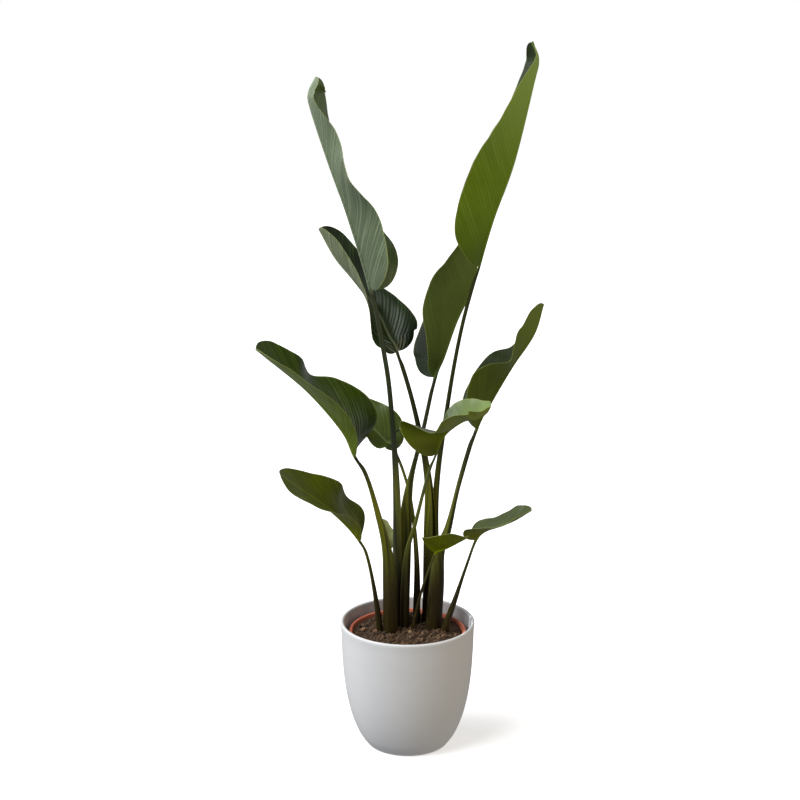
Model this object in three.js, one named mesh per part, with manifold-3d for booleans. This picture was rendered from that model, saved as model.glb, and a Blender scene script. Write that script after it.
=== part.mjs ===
// Potted bird of paradise: twelve leaves of one clump, rooted in a nursery pot
// that stands inside a glazed cover pot.
// Millimetres, +Z up, origin at the centre of the cover pot's foot, front towards -Y.
import * as THREE from "three";
import { mergeVertices } from "three/addons/utils/BufferGeometryUtils.js";
import Module from "manifold-3d";

const wasm = await Module();
wasm.setup();

// Cover pot
const COVER_RIM_RADIUS = 110;
const COVER_HEIGHT = 212;
const COVER_FOOT_RADIUS = 64;
const COVER_FOOT_ROUNDING = 5;
const COVER_WALL = 5.5;
const COVER_FLOOR = 9;
const COVER_SIDES = 48;
// Outer wall as [height share, radius share] between the foot's rounding and the rim
const COVER_BELLY = [
  [0.035, 0.655], [0.1, 0.735], [0.2, 0.815], [0.31, 0.877],
  [0.44, 0.926], [0.6, 0.962], [0.8, 0.985], [0.975, 1],
];

// Nursery pot
const NURSERY_RIM_RADIUS = 95.5;
const NURSERY_FOOT_RADIUS = 62;
const NURSERY_BELOW_COVER_RIM = 16;
const NURSERY_WALL = 1.8;
const NURSERY_LIP_WIDTH = 4.5;
const NURSERY_LIP_HEIGHT = 9;
const NURSERY_SIDES = 40;
const DRAIN_COUNT = 8;
const DRAIN_RADIUS = 6;
const DRAIN_CIRCLE = 40;

// Soil and the clearance round everything that stands in something else
const SOIL_LEVEL = 190;
const SOIL_HEAP = 9;
const SOIL_LUMP = 2.6;
const SOIL_RINGS = 6;
const CLEARANCE = 0.3;
const HOLE_CLEARANCE = 0.5;
const HOLE_SIDES = 12;
const HOLE_REACH = 25;
const ROOT_LEVEL = 140;

// Leaves
const BLADE_THICKNESS = 1;
const BLADE_ROOT_WIDTH = 2.5;
const SHEATH_WALL = 3.2;
// Share of the blade's length that each rounded end takes
const BLADE_BASE_ROUNDING = 0.2;
const BLUNT_BASE_ROUNDING = 0.05;
const BLADE_TIP_ROUNDING = 0.16;
// How far the margin runs ahead of the midrib along the blade, as shares of the half's width;
// at the base it runs back by the half's own lobe
const SWEEP_MIDDLE = 0.1;
const SWEEP_TIP = 0.2;
const WAVES = 3;
// Sine of the steepest lean of a half
const STEEPEST = 0.97;
const KEEL_TAPER = 0.75;
const STALK_STEP = 36;
const BLADE_STEP = 22;
// Extra places within the first and the last step, where a blade's ends round off
const BLADE_END_STEPS = [0.1, 0.38];
// Leaves narrower than this in each half get fewer faces
const SMALL_LEAF = 45;

// Finishes
const GLAZE_WHITE = 0xd6d8de;
const GLAZE_ROUGHNESS = 0.35;
const TERRACOTTA_PLASTIC = 0xb5573f;
const PLASTIC_ROUGHNESS = 0.5;
const BARK_BROWN = 0x3a2a20;
const SOIL_ROUGHNESS = 0.95;
const LEAF_GREEN = 0x3d5a1e;
const LEAF_ROUGHNESS = 0.4;

// Every leaf is one piece: a sheath and stalk that carry a folded blade.
// route: points on the stalk's axis from the root end up, then on the midrib to the tip.
// bladeFrom: the route point where the blade starts.
// stalkRadius: at even steps along the stalk.
// heading: compass of the blade in plan at even steps along it, 0 towards +X, degrees.
// Each half has, at even steps along the blade, its width from midrib to margin, the rise of
// its margin above the flat and its curl in degrees, then the height of its waves and how far
// its base lobe reaches back, as a share of its width. A blunt half has a square base.
const LEAVES = [
  {
    name: "leaf_tall_left",
    route: [
      [-17, 16, 140], [-17, 16, 195], [-17, 17, 413], [-27, 8, 580], [-38, 0, 666],
      [-58, -8, 769], [-91, -18, 882], [-121, -22, 968], [-147, -24, 1048], [-150, -24, 1073],
      [-139, -20, 1096],
    ],
    bladeFrom: 5,
    heading: [180, 180],
    stalkRadius: [8.5, 8.5, 7, 4.6, 4, 3.6],
    left: {
      width: [56, 74, 76, 68, 58, 44, 24],
      rise: [15, 40, 47, 25, 29, 14, 10],
      curl: [20, 20, 10, 10], wave: 2, lobe: 0.2,
    },
    right: {
      width: [64, 75, 76, 66, 56, 44, 26],
      rise: [42, 50, 22, 8, 12, 22, 30],
      curl: [10, 10], wave: 1, lobe: 0.65,
    },
  },
  {
    name: "leaf_upper_left",
    route: [
      [35.5, 43, 140], [35.5, 43, 195], [37, 42, 338], [33, 47, 444], [10, 52, 561],
      [-17, 58, 652], [-30, 64, 675], [-45, 70, 707], [-62, 78, 733], [-90, 88, 767],
      [-117, 98, 798], [-143, 110, 842],
    ],
    bladeFrom: 5,
    heading: [150, 155, 165, 175, 175],
    stalkRadius: [11, 11, 10.5, 6, 3.8, 3.4],
    left: {
      width: [38, 38, 38, 40, 36, 30, 20],
      rise: [-6, -6, 8, 20, 24, 20, 12],
      curl: [10, 30, 40, 30, 20], wave: 1, lobe: 0.2,
    },
    right: {
      width: [40, 50, 41, 34, 42, 40, 28],
      rise: [16, 40, 25, 8, 26, 26, 20],
      curl: [10, 10], wave: 1, lobe: 0.3,
    },
  },
  {
    name: "leaf_tall_right",
    route: [
      [49, 56, 140], [49, 56, 195], [46, 60, 398], [63, 38, 558], [84, 10, 696],
      [110, -12, 806], [130, -24, 880], [160, -38, 970], [187, -50, 1088], [194, -50, 1124],
      [185, -46, 1150],
    ],
    bladeFrom: 5,
    heading: [0, 0],
    stalkRadius: [7, 7, 5.4, 3.9, 3.2, 3.1],
    left: {
      width: [40, 66, 78, 72, 58, 38, 26],
      rise: [-14, 20, 44, 40, 22, 16, 20],
      curl: [10, 10], wave: 1, lobe: 0.1,
    },
    right: {
      width: [48, 76, 83, 78, 62, 42, 22],
      rise: [14, 52, 62, 57, 36, 18, -4],
      curl: [20, 20, 10, 10], wave: 1, lobe: 0.1,
    },
  },
  {
    name: "leaf_upper_right",
    route: [
      [-9, 38, 140], [-9, 38, 195], [-6, 37, 330], [2, 28, 430], [25, 36, 526], [44, 56, 609],
      [57, 62, 641], [77, 74, 695], [106, 88, 762], [121, 100, 866],
    ],
    bladeFrom: 5,
    heading: [0, 0],
    stalkRadius: [11, 12, 12.5, 11, 4.6, 3.6, 3.2],
    left: {
      width: [50, 60, 68, 68, 58, 42, 24],
      rise: [40, 46, 43, 35, 24, 12, 6],
      curl: [10, 10], wave: 1, lobe: 0.3,
    },
    right: {
      width: [22, 48, 78, 84, 71, 48, 24],
      rise: [20, 33, 60, 68, 50, 26, 4],
      curl: [20, 20, 10, 10], wave: 1, lobe: 0,
    },
  },
  {
    name: "leaf_middle_left",
    route: [
      [-27, -12, 140], [-27, -12, 195], [-31, -14, 321], [-49, -18, 406], [-66, -24, 467],
      [-84, -32, 504], [-103, -42, 548], [-155, -62, 616], [-217, -84, 675], [-233, -90, 690],
    ],
    bladeFrom: 5,
    heading: [201, 201],
    stalkRadius: [12, 12.5, 11.5, 6.5, 3.8, 3.4],
    left: {
      width: [8, 22, 40, 47, 45, 39, 26],
      rise: [3, 12, 16, 12, 8, 5, 3],
      curl: [20, 20], wave: 1, lobe: 0,
    },
    right: {
      width: [48, 74, 86, 80, 58, 50, 43, 38, 28],
      rise: [10, 62, 68, 50, 24, 32, 28, 24, 17],
      curl: [10, 10], wave: 1, lobe: 0.45,
    },
  },
  {
    name: "leaf_low_left",
    route: [
      [-45, -10, 140], [-45, -10, 195], [-54, -14, 270], [-66, -22, 333], [-78, -30, 361],
      [-98, -40, 390], [-127, -58, 424], [-163, -78, 458], [-198, -98, 491],
    ],
    bladeFrom: 4,
    heading: [205, 205],
    stalkRadius: [5.5, 5, 3, 2.4],
    left: {
      width: [9, 22, 36, 45, 40, 32, 20],
      rise: [5, 11, 10, 0, -9, -12, -8],
      curl: [20, 20, 10, 10], wave: 1, lobe: 0.1,
    },
    right: {
      width: [34, 56, 58, 55, 51, 46, 40, 31, 20],
      rise: [20, 40, 36, 43, 37, 28, 19, 12, 6],
      curl: [10, 10], wave: 1.5, lobe: 0.4,
    },
  },
  {
    name: "leaf_centre",
    route: [
      [-5, 2, 140], [-5, 2, 195], [-3, 0, 315], [13, -14, 386], [31, -40, 470],
      [44, -58, 515], [55, -64, 543], [70, -70, 560], [89, -76, 573],
      [106, -82, 576], [121, -88, 588], [127, -92, 599],
    ],
    bladeFrom: 5,
    heading: [-20, -20],
    stalkRadius: [7.5, 7.5, 4, 2.8, 2.4],
    left: {
      width: [26, 36, 40, 44, 40, 32, 19],
      rise: [6, 12, 22, 27, 22, 14, 5],
      curl: [20, 20], wave: 1, lobe: 0.1,
    },
    right: {
      width: [14, 50, 74, 66, 64, 56, 46, 34, 18],
      rise: [0, 36, 62, 12, 19, 21, 19, 12, 4],
      curl: [10, 20], wave: 1.5, lobe: 0.2, blunt: true,
    },
  },
  {
    name: "leaf_middle_right",
    route: [
      [37, 11, 140], [37, 11, 195], [48, 15, 311], [66, 18, 365], [85, 26, 444],
      [111, 40, 528], [134, 46, 571], [168, 58, 626], [203.5, 70, 677], [219, 78, 725],
    ],
    bladeFrom: 5,
    heading: [12, 12],
    stalkRadius: [19, 19, 17, 8.5, 4.2, 3.8, 3.6],
    left: {
      width: [34, 46, 50, 52, 52, 50, 46, 36, 34, 32, 30, 26, 20],
      rise: [14, 28, 30, 31, 32, 30, 24, 8, 6, 7, 8, 8, 6],
      curl: [10, 10], wave: 1, lobe: 0.1,
    },
    right: {
      width: [34, 46, 60, 68, 70, 60, 38, 42, 44, 38, 36, 34, 28],
      rise: [17, 34, 48, 58, 60, 46, 20, 28, 34, 30, 28, 26, 18],
      curl: [20, 20, 10, 10], wave: 1, lobe: 0.1,
    },
  },
  {
    name: "leaf_back_left",
    route: [
      [15, 24, 140], [15, 24, 195], [15, 32, 307], [4, 50, 410], [-21, 70, 483],
      [-36, 76, 495], [-53, 84, 511], [-79, 95, 531], [-103, 106, 550],
    ],
    bladeFrom: 4,
    heading: [150, 150],
    stalkRadius: [6, 6, 4, 2.6, 2.4],
    left: {
      width: [26, 34, 36, 34, 30, 22, 14],
      rise: [4, 3, 3, 3, 3, 2, 1],
      curl: [10, 10], wave: 1, lobe: 0.1,
    },
    right: {
      width: [22, 36, 44, 42, 36, 28, 18],
      rise: [10, 26, 33, 32, 26, 20, 12],
      curl: [10, 10], wave: 1, lobe: 0.05,
    },
  },
  {
    name: "leaf_low_right",
    route: [
      [61, -9, 140], [61, -9, 195], [80, -12, 261], [97, -17, 318], [110, -24, 359],
      [124, -32, 377], [147, -46, 390], [170, -58, 404], [195, -70, 424],
    ],
    bladeFrom: 4,
    heading: [-25, -25],
    stalkRadius: [6, 5.5, 2.8, 2],
    left: {
      width: [30, 29, 24, 26, 27, 19, 9],
      rise: [20, 17, 11, 13, 16, 11, 6],
      curl: [10, 10], wave: 1, lobe: 0.7,
    },
    right: {
      width: [30, 32, 28, 26, 24, 18, 12],
      rise: [22, 18, 9, 4, 3, 3, 2],
      curl: [10, 10], wave: 1, lobe: 0.3,
    },
  },
  {
    name: "leaf_small_front",
    route: [
      [8, -10, 140], [8, -10, 195], [22, -16, 266], [39, -28, 323], [45, -34, 340],
      [56, -46, 350], [68, -58, 360], [93, -76, 380],
    ],
    bladeFrom: 4,
    heading: [-58, -58],
    stalkRadius: [3.4, 3.2, 2, 1.8],
    left: {
      width: [14, 16, 16, 15, 14, 12, 9],
      rise: [4, 4, 5, 6, 6, 5, 3],
      curl: [20, 10], wave: 0, lobe: 0.3,
    },
    right: {
      width: [24, 35, 39, 37, 33, 28, 18],
      rise: [20, 26, 22, 17, 14, 11, 6],
      curl: [10, 10], wave: 0, lobe: 0.3,
    },
  },
  {
    name: "leaf_small_back",
    route: [
      [-30, 42, 140], [-30, 42, 195], [-30, 54, 263], [-32, 66, 314],
      [-38, 75, 334], [-45, 84, 357],
    ],
    bladeFrom: 3,
    heading: [140, 140],
    stalkRadius: [4, 4, 2.2, 1.9],
    left: {
      width: [10, 16, 18, 16, 12, 10, 6],
      rise: [4, 6, 7, 6, 5, 4, 3],
      curl: [20, 10], wave: 0, lobe: 0.3,
    },
    right: {
      width: [10, 16, 18, 16, 12, 10, 6],
      rise: [3, 5, 6, 5, 4, 3, 2],
      curl: [10, 10], wave: 0, lobe: 0.3,
    },
  },
];

const RAD = Math.PI / 180;

// One value at share s of the way along a row of values at even steps
function keyed(values, s) {
  const x = Math.min(Math.max(s, 0), 1) * (values.length - 1);
  const i = Math.min(Math.floor(x), values.length - 2);
  const w = x - i;
  const b = values[i];
  const c = values[i + 1];
  const a = i > 0 ? values[i - 1] : 2 * b - c;
  const d = i + 2 < values.length ? values[i + 2] : 2 * c - b;
  const slopeB = (c - a) / 2;
  const slopeC = (d - b) / 2;
  const cubic = 2 * b - 2 * c + slopeB + slopeC;
  const square = 3 * c - 3 * b - 2 * slopeB - slopeC;
  return ((cubic * w + square) * w + slopeB) * w + b;
}

// Quarter ellipses round off the blade's two ends
function endShare(s, baseRounding) {
  const base = Math.min(s / baseRounding, 1);
  const tip = Math.min((1 - s) / BLADE_TIP_ROUNDING, 1);
  return Math.sqrt(1 - (1 - base) ** 2) * Math.sqrt(1 - (1 - tip) ** 2);
}

// Places on a stretch of the route that lie evenly along its length
function evenSteps(curve, from, to, spacing, fewest) {
  const samples = 200;
  const lengths = [0];
  let last = curve.getPoint(from);
  for (let i = 1; i <= samples; i++) {
    const next = curve.getPoint(from + ((to - from) * i) / samples);
    lengths.push(lengths[i - 1] + next.distanceTo(last));
    last = next;
  }
  const count = Math.max(fewest, Math.round(lengths[samples] / spacing));
  const steps = [];
  let k = 0;
  for (let i = 0; i <= count; i++) {
    const want = (lengths[samples] * i) / count;
    while (k < samples - 1 && lengths[k + 1] < want) k++;
    const share = (want - lengths[k]) / (lengths[k + 1] - lengths[k]);
    steps.push(from + ((to - from) * (k + Math.min(share, 1))) / samples);
  }
  return steps;
}

// Axes at a route point: along it, level to its left, and up out of the leaf's top face
function axesAt(curve, t, heading) {
  const step = 1e-3;
  const along = curve.getPoint(Math.min(t + step, 1)).sub(curve.getPoint(Math.max(t - step, 0))).normalize();
  const left = new THREE.Vector3(-Math.sin(heading * RAD), Math.cos(heading * RAD), 0);
  left.addScaledVector(along, -left.dot(along)).normalize();
  return { point: curve.getPoint(t), along, left, up: along.clone().cross(left) };
}

// A stalk is a channel: thick and nearly closed above, a wide thin clasp at the sheath
function stalkRing(axes, radius, halfColumns) {
  const wall = Math.min(SHEATH_WALL, 0.6 * radius);
  const wrap = Math.min(Math.max(165 - 2 * radius, 120), 150) * RAD;
  const ring = { under: [], top: [] };
  for (let j = -halfColumns; j <= halfColumns; j++) {
    const angle = (wrap * j) / halfColumns;
    const outward = axes.left.clone().multiplyScalar(Math.sin(angle));
    outward.addScaledVector(axes.up, -Math.cos(angle));
    ring.under.push(axes.point.clone().addScaledVector(outward, radius));
    ring.top.push(axes.point.clone().addScaledVector(outward, radius - wall));
  }
  return ring;
}

// A blade is two halves that rise from a keel, each an arc with a waved margin
function bladeRing(leaf, axes, s, keelRadius, halfColumns) {
  const ring = { under: [], top: [] };
  for (let j = -halfColumns; j <= halfColumns; j++) {
    const side = j < 0 ? -1 : 1;
    const half = j < 0 ? leaf.right : leaf.left;
    const fullWidth = Math.max(keyed(half.width, s), 1);
    const ends = endShare(s, half.blunt ? BLUNT_BASE_ROUNDING : BLADE_BASE_ROUNDING);
    const width = fullWidth * ends + BLADE_ROOT_WIDTH;
    const keelShare = Math.min(0.45, keelRadius / width);
    const t = j === 0 ? 0 : keelShare + ((1 - keelShare) * (Math.abs(j) - 1)) / (halfColumns - 1);
    const curl = Math.max(keyed(half.curl, s), 1) * RAD;
    const lean = Math.asin(Math.min(Math.max(keyed(half.rise, s) / fullWidth, -STEEPEST), STEEPEST));
    const fold = lean - curl / 2;
    const turn = fold + curl * t;
    const normal = axes.up.clone();
    if (j !== 0) normal.multiplyScalar(Math.cos(turn)).addScaledVector(axes.left, -side * Math.sin(turn));
    const sweep = keyed([-half.lobe, -half.lobe / 3, SWEEP_MIDDLE, SWEEP_TIP, SWEEP_TIP], s);
    const wave = half.wave * t * t * Math.sin(2 * Math.PI * WAVES * s) * ends;
    const middle = axes.point.clone()
      .addScaledVector(axes.left, (side * width * (Math.sin(turn) - Math.sin(fold))) / curl)
      .addScaledVector(axes.up, (width * (Math.cos(fold) - Math.cos(turn))) / curl)
      .addScaledVector(axes.along, sweep * width * t)
      .addScaledVector(normal, wave);
    const keel = j === 0 ? keelRadius : 0;
    ring.under.push(middle.clone().addScaledVector(normal, -BLADE_THICKNESS / 2 - keel));
    ring.top.push(middle.clone().addScaledVector(normal, BLADE_THICKNESS / 2));
  }
  return ring;
}

// The closed skin over a row of rings, split alike on both faces
function skinOver(rings) {
  const columns = rings[0].under.length;
  const positions = [];
  for (const ring of rings) {
    for (const p of [...ring.under, ...ring.top]) positions.push(p.x, p.y, p.z);
  }
  const under = (i, j) => i * 2 * columns + j;
  const top = (i, j) => under(i, j) + columns;
  const index = [];
  const quad = (a, b, c, d) => index.push(a, b, c, a, c, d);
  const end = rings.length - 1;
  for (let i = 0; i < end; i++) {
    for (let j = 0; j < columns - 1; j++) {
      quad(under(i, j), under(i, j + 1), under(i + 1, j + 1), under(i + 1, j));
      index.push(top(i, j), top(i + 1, j + 1), top(i, j + 1), top(i, j), top(i + 1, j), top(i + 1, j + 1));
    }
    quad(under(i, 0), under(i + 1, 0), top(i + 1, 0), top(i, 0));
    quad(under(i, columns - 1), top(i, columns - 1), top(i + 1, columns - 1), under(i + 1, columns - 1));
  }
  for (let j = 0; j < columns - 1; j++) {
    quad(under(0, j), top(0, j), top(0, j + 1), under(0, j + 1));
    quad(under(end, j), under(end, j + 1), top(end, j + 1), top(end, j));
  }
  const geometry = new THREE.BufferGeometry();
  geometry.setAttribute("position", new THREE.Float32BufferAttribute(positions, 3));
  geometry.setIndex(index);
  return geometry;
}

function routeOf(leaf) {
  return new THREE.CatmullRomCurve3(leaf.route.map((p) => new THREE.Vector3(...p)), false, "catmullrom", 0.5);
}

// Stalk places with their radius and axes, from the root end to where the blade starts
function stalkPlaces(leaf) {
  const curve = routeOf(leaf);
  const from = leaf.bladeFrom / (leaf.route.length - 1);
  const steps = evenSteps(curve, 0, from, STALK_STEP, 6);
  return steps.map((t, i) => ({
    axes: axesAt(curve, t, leaf.heading[0]),
    radius: keyed(leaf.stalkRadius, i / (steps.length - 1)),
  }));
}

// Where a blade's rings stand, counted in even steps
function bladePlaces(count) {
  const places = [0, ...BLADE_END_STEPS];
  for (let i = 1; i < count; i++) places.push(i);
  return [...places, ...BLADE_END_STEPS.map((share) => count - share).reverse(), count];
}

function leafGeometry(leaf) {
  const curve = routeOf(leaf);
  const from = leaf.bladeFrom / (leaf.route.length - 1);
  const halfColumns = leaf.left.width[3] > SMALL_LEAF ? 4 : 3;
  const stalk = stalkPlaces(leaf).slice(0, -1);
  const rings = stalk.map(({ axes, radius }) => stalkRing(axes, radius, halfColumns));
  const steps = evenSteps(curve, from, 1, BLADE_STEP, 8);
  const keelRadius = leaf.stalkRadius.at(-1);
  for (const place of bladePlaces(steps.length - 1)) {
    const i = Math.min(Math.floor(place), steps.length - 2);
    const t = steps[i] + (steps[i + 1] - steps[i]) * (place - i);
    const s = place / (steps.length - 1);
    const axes = axesAt(curve, t, keyed(leaf.heading, s));
    rings.push(bladeRing(leaf, axes, s, keelRadius * (1 - KEEL_TAPER * s), halfColumns));
  }
  return skinOver(rings);
}

// Round solid of revolution about the vertical axis from a closed profile
function turned(profile, sides) {
  const points = profile.map(([r, z]) => new THREE.Vector2(r, z));
  return new THREE.LatheGeometry(points, sides).rotateX(Math.PI / 2);
}

function toManifold(geometry) {
  const bare = geometry.clone();
  bare.deleteAttribute("normal");
  bare.deleteAttribute("uv");
  const merged = mergeVertices(bare, 1e-4);
  return new wasm.Manifold(new wasm.Mesh({
    numProp: 3,
    vertProperties: new Float32Array(merged.attributes.position.array),
    triVerts: new Uint32Array(merged.index.array),
  }));
}

function fromManifold(solid) {
  const mesh = solid.getMesh();
  const geometry = new THREE.BufferGeometry();
  geometry.setAttribute("position", new THREE.Float32BufferAttribute(mesh.vertProperties, 3));
  geometry.setIndex([...mesh.triVerts]);
  return geometry;
}

// Cover pot outside, from the foot's edge to below the rim
function coverOutline() {
  const points = [];
  const centre = COVER_FOOT_RADIUS;
  for (let i = 0; i <= 3; i++) {
    const angle = (-90 + 25 * i) * RAD;
    points.push([
      centre + COVER_FOOT_ROUNDING * Math.cos(angle),
      COVER_FOOT_ROUNDING * (1 + Math.sin(angle)),
    ]);
  }
  for (const [height, radius] of COVER_BELLY) points.push([radius * COVER_RIM_RADIUS, height * COVER_HEIGHT]);
  return points;
}

function coverPotGeometry() {
  const outside = coverOutline();
  const rim = [];
  const lip = COVER_WALL / 2;
  for (let i = 1; i < 6; i++) {
    const angle = 30 * i * RAD;
    rim.push([COVER_RIM_RADIUS - lip + lip * Math.cos(angle), COVER_HEIGHT - lip + lip * Math.sin(angle)]);
  }
  const inside = outside
    .filter(([, z]) => z > 1.5 * COVER_FLOOR)
    .map(([r, z]) => [r - COVER_WALL, z])
    .reverse();
  const floorRadius = inside.at(-1)[0] - COVER_FLOOR;
  const floor = [[floorRadius, COVER_FLOOR], [0, COVER_FLOOR]];
  return turned([[0, 0], ...outside, ...rim, ...inside, ...floor], COVER_SIDES);
}

const NURSERY_FOOT = COVER_FLOOR + CLEARANCE;
const NURSERY_TOP = COVER_HEIGHT - NURSERY_BELOW_COVER_RIM;

// The nursery pot's straight side, as its outer radius under the lip at height z
function nurseryRadius(z) {
  const top = NURSERY_RIM_RADIUS - NURSERY_LIP_WIDTH + NURSERY_WALL;
  const share = (z - NURSERY_FOOT) / (NURSERY_TOP - NURSERY_FOOT);
  return NURSERY_FOOT_RADIUS + (top - NURSERY_FOOT_RADIUS) * share;
}

function nurseryPotGeometry() {
  const underLip = NURSERY_TOP - NURSERY_LIP_HEIGHT;
  const profile = [
    [0, NURSERY_FOOT],
    [nurseryRadius(NURSERY_FOOT), NURSERY_FOOT],
    [nurseryRadius(underLip), underLip],
    [NURSERY_RIM_RADIUS, underLip],
    [NURSERY_RIM_RADIUS, NURSERY_TOP - 1],
    [NURSERY_RIM_RADIUS - 1, NURSERY_TOP],
    [nurseryRadius(NURSERY_TOP) - NURSERY_WALL + 1, NURSERY_TOP],
    [nurseryRadius(NURSERY_TOP) - NURSERY_WALL, NURSERY_TOP - 1],
    [nurseryRadius(NURSERY_FOOT + NURSERY_WALL) - NURSERY_WALL, NURSERY_FOOT + NURSERY_WALL],
    [0, NURSERY_FOOT + NURSERY_WALL],
  ];
  let pot = toManifold(turned(profile, NURSERY_SIDES));
  for (let i = 0; i < DRAIN_COUNT; i++) {
    const angle = (2 * Math.PI * i) / DRAIN_COUNT;
    const drain = new THREE.CylinderGeometry(DRAIN_RADIUS, DRAIN_RADIUS, 4 * NURSERY_WALL, 8);
    drain.rotateX(Math.PI / 2);
    drain.translate(DRAIN_CIRCLE * Math.cos(angle), DRAIN_CIRCLE * Math.sin(angle), NURSERY_FOOT);
    pot = pot.subtract(toManifold(drain));
  }
  return fromManifold(pot);
}

// Lumpy heap of bark and coir, highest round the clump
function soilHeight(x, y, edge) {
  const out = Math.hypot(x, y) / edge;
  const broad = Math.sin(0.31 * x + 0.12 * y) * Math.cos(0.27 * y - 0.08 * x);
  const lumps = broad + 0.6 * Math.sin(0.53 * x - 0.4 * y + 1);
  return SOIL_LEVEL + SOIL_HEAP * (1 - out * out) + SOIL_LUMP * lumps * (1 - 0.6 * out ** 4);
}

function soilBody() {
  const facets = Math.cos(Math.PI / NURSERY_SIDES);
  const inner = (z) => (nurseryRadius(z) - NURSERY_WALL) * facets - CLEARANCE;
  const foot = NURSERY_FOOT + NURSERY_WALL + CLEARANCE;
  const edge = inner(SOIL_LEVEL - 2 * SOIL_LUMP);
  const positions = [0, 0, soilHeight(0, 0, edge)];
  const index = [];
  const at = (ring, spoke) => 1 + ring * NURSERY_SIDES + (spoke % NURSERY_SIDES);
  for (let ring = 1; ring <= SOIL_RINGS; ring++) {
    for (let spoke = 0; spoke < NURSERY_SIDES; spoke++) {
      const angle = (2 * Math.PI * spoke) / NURSERY_SIDES;
      const x = (Math.cos(angle) * edge * ring) / SOIL_RINGS;
      const y = (Math.sin(angle) * edge * ring) / SOIL_RINGS;
      positions.push(x, y, soilHeight(x, y, edge));
    }
  }
  for (let spoke = 0; spoke < NURSERY_SIDES; spoke++) {
    const angle = (2 * Math.PI * spoke) / NURSERY_SIDES;
    positions.push(Math.cos(angle) * inner(foot), Math.sin(angle) * inner(foot), foot);
  }
  positions.push(0, 0, foot);
  const footCentre = positions.length / 3 - 1;
  for (let spoke = 0; spoke < NURSERY_SIDES; spoke++) {
    index.push(0, at(0, spoke), at(0, spoke + 1));
    for (let ring = 0; ring < SOIL_RINGS; ring++) {
      const [a, b] = [at(ring, spoke), at(ring, spoke + 1)];
      const [c, d] = [at(ring + 1, spoke), at(ring + 1, spoke + 1)];
      index.push(a, c, d, a, d, b);
    }
    index.push(footCentre, at(SOIL_RINGS, spoke + 1), at(SOIL_RINGS, spoke));
  }
  const geometry = new THREE.BufferGeometry();
  geometry.setAttribute("position", new THREE.Float32BufferAttribute(positions, 3));
  geometry.setIndex(index);
  return geometry;
}

// The room that a stalk takes in the soil: a plain round hole along its foot
function stalkHole(leaf) {
  const places = stalkPlaces(leaf).filter(({ axes }) => axes.point.z < SOIL_LEVEL + 2 * HOLE_REACH);
  const positions = [];
  const grow = 1 / Math.cos(Math.PI / HOLE_SIDES);
  const first = places[0];
  const point = first.axes.point.clone().setZ(ROOT_LEVEL - HOLE_CLEARANCE);
  const floor = { axes: { ...first.axes, point }, radius: first.radius };
  for (const { axes, radius } of [floor, ...places]) {
    for (let k = 0; k < HOLE_SIDES; k++) {
      const angle = (2 * Math.PI * k) / HOLE_SIDES;
      const p = axes.point.clone()
        .addScaledVector(axes.left, Math.cos(angle) * (radius + HOLE_CLEARANCE) * grow)
        .addScaledVector(axes.up, Math.sin(angle) * (radius + HOLE_CLEARANCE) * grow);
      positions.push(p.x, p.y, p.z);
    }
  }
  const rows = places.length + 1;
  const index = [];
  for (let k = 0; k < HOLE_SIDES; k++) {
    const next = (k + 1) % HOLE_SIDES;
    for (let i = 0; i < rows - 1; i++) {
      const [a, b] = [i * HOLE_SIDES + k, i * HOLE_SIDES + next];
      index.push(a, b, b + HOLE_SIDES, a, b + HOLE_SIDES, a + HOLE_SIDES);
    }
    if (k > 0 && k < HOLE_SIDES - 1) {
      const last = (rows - 1) * HOLE_SIDES;
      index.push(0, next, k, last, last + k, last + next);
    }
  }
  const geometry = new THREE.BufferGeometry();
  geometry.setAttribute("position", new THREE.Float32BufferAttribute(positions, 3));
  geometry.setIndex(index);
  return geometry;
}

function soilGeometry() {
  let soil = toManifold(soilBody());
  for (const leaf of LEAVES) soil = soil.subtract(toManifold(stalkHole(leaf)));
  return fromManifold(soil);
}

function piece(name, geometry, colour, roughness) {
  const material = new THREE.MeshStandardMaterial({ color: colour, roughness, metalness: 0 });
  const mesh = new THREE.Mesh(geometry, material);
  mesh.name = name;
  return mesh;
}

const plant = new THREE.Group();
for (const leaf of LEAVES) plant.add(piece(leaf.name, leafGeometry(leaf), LEAF_GREEN, LEAF_ROUGHNESS));

const pottedPlant = new THREE.Group();
pottedPlant.add(piece("cover_pot", coverPotGeometry(), GLAZE_WHITE, GLAZE_ROUGHNESS));
pottedPlant.add(piece("nursery_pot", nurseryPotGeometry(), TERRACOTTA_PLASTIC, PLASTIC_ROUGHNESS));
pottedPlant.add(piece("soil", soilGeometry(), BARK_BROWN, SOIL_ROUGHNESS));
pottedPlant.add(plant);

export default pottedPlant;
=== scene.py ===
import math
import random

import bpy
import numpy as np
from mathutils import Euler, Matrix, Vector, noise


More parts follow.
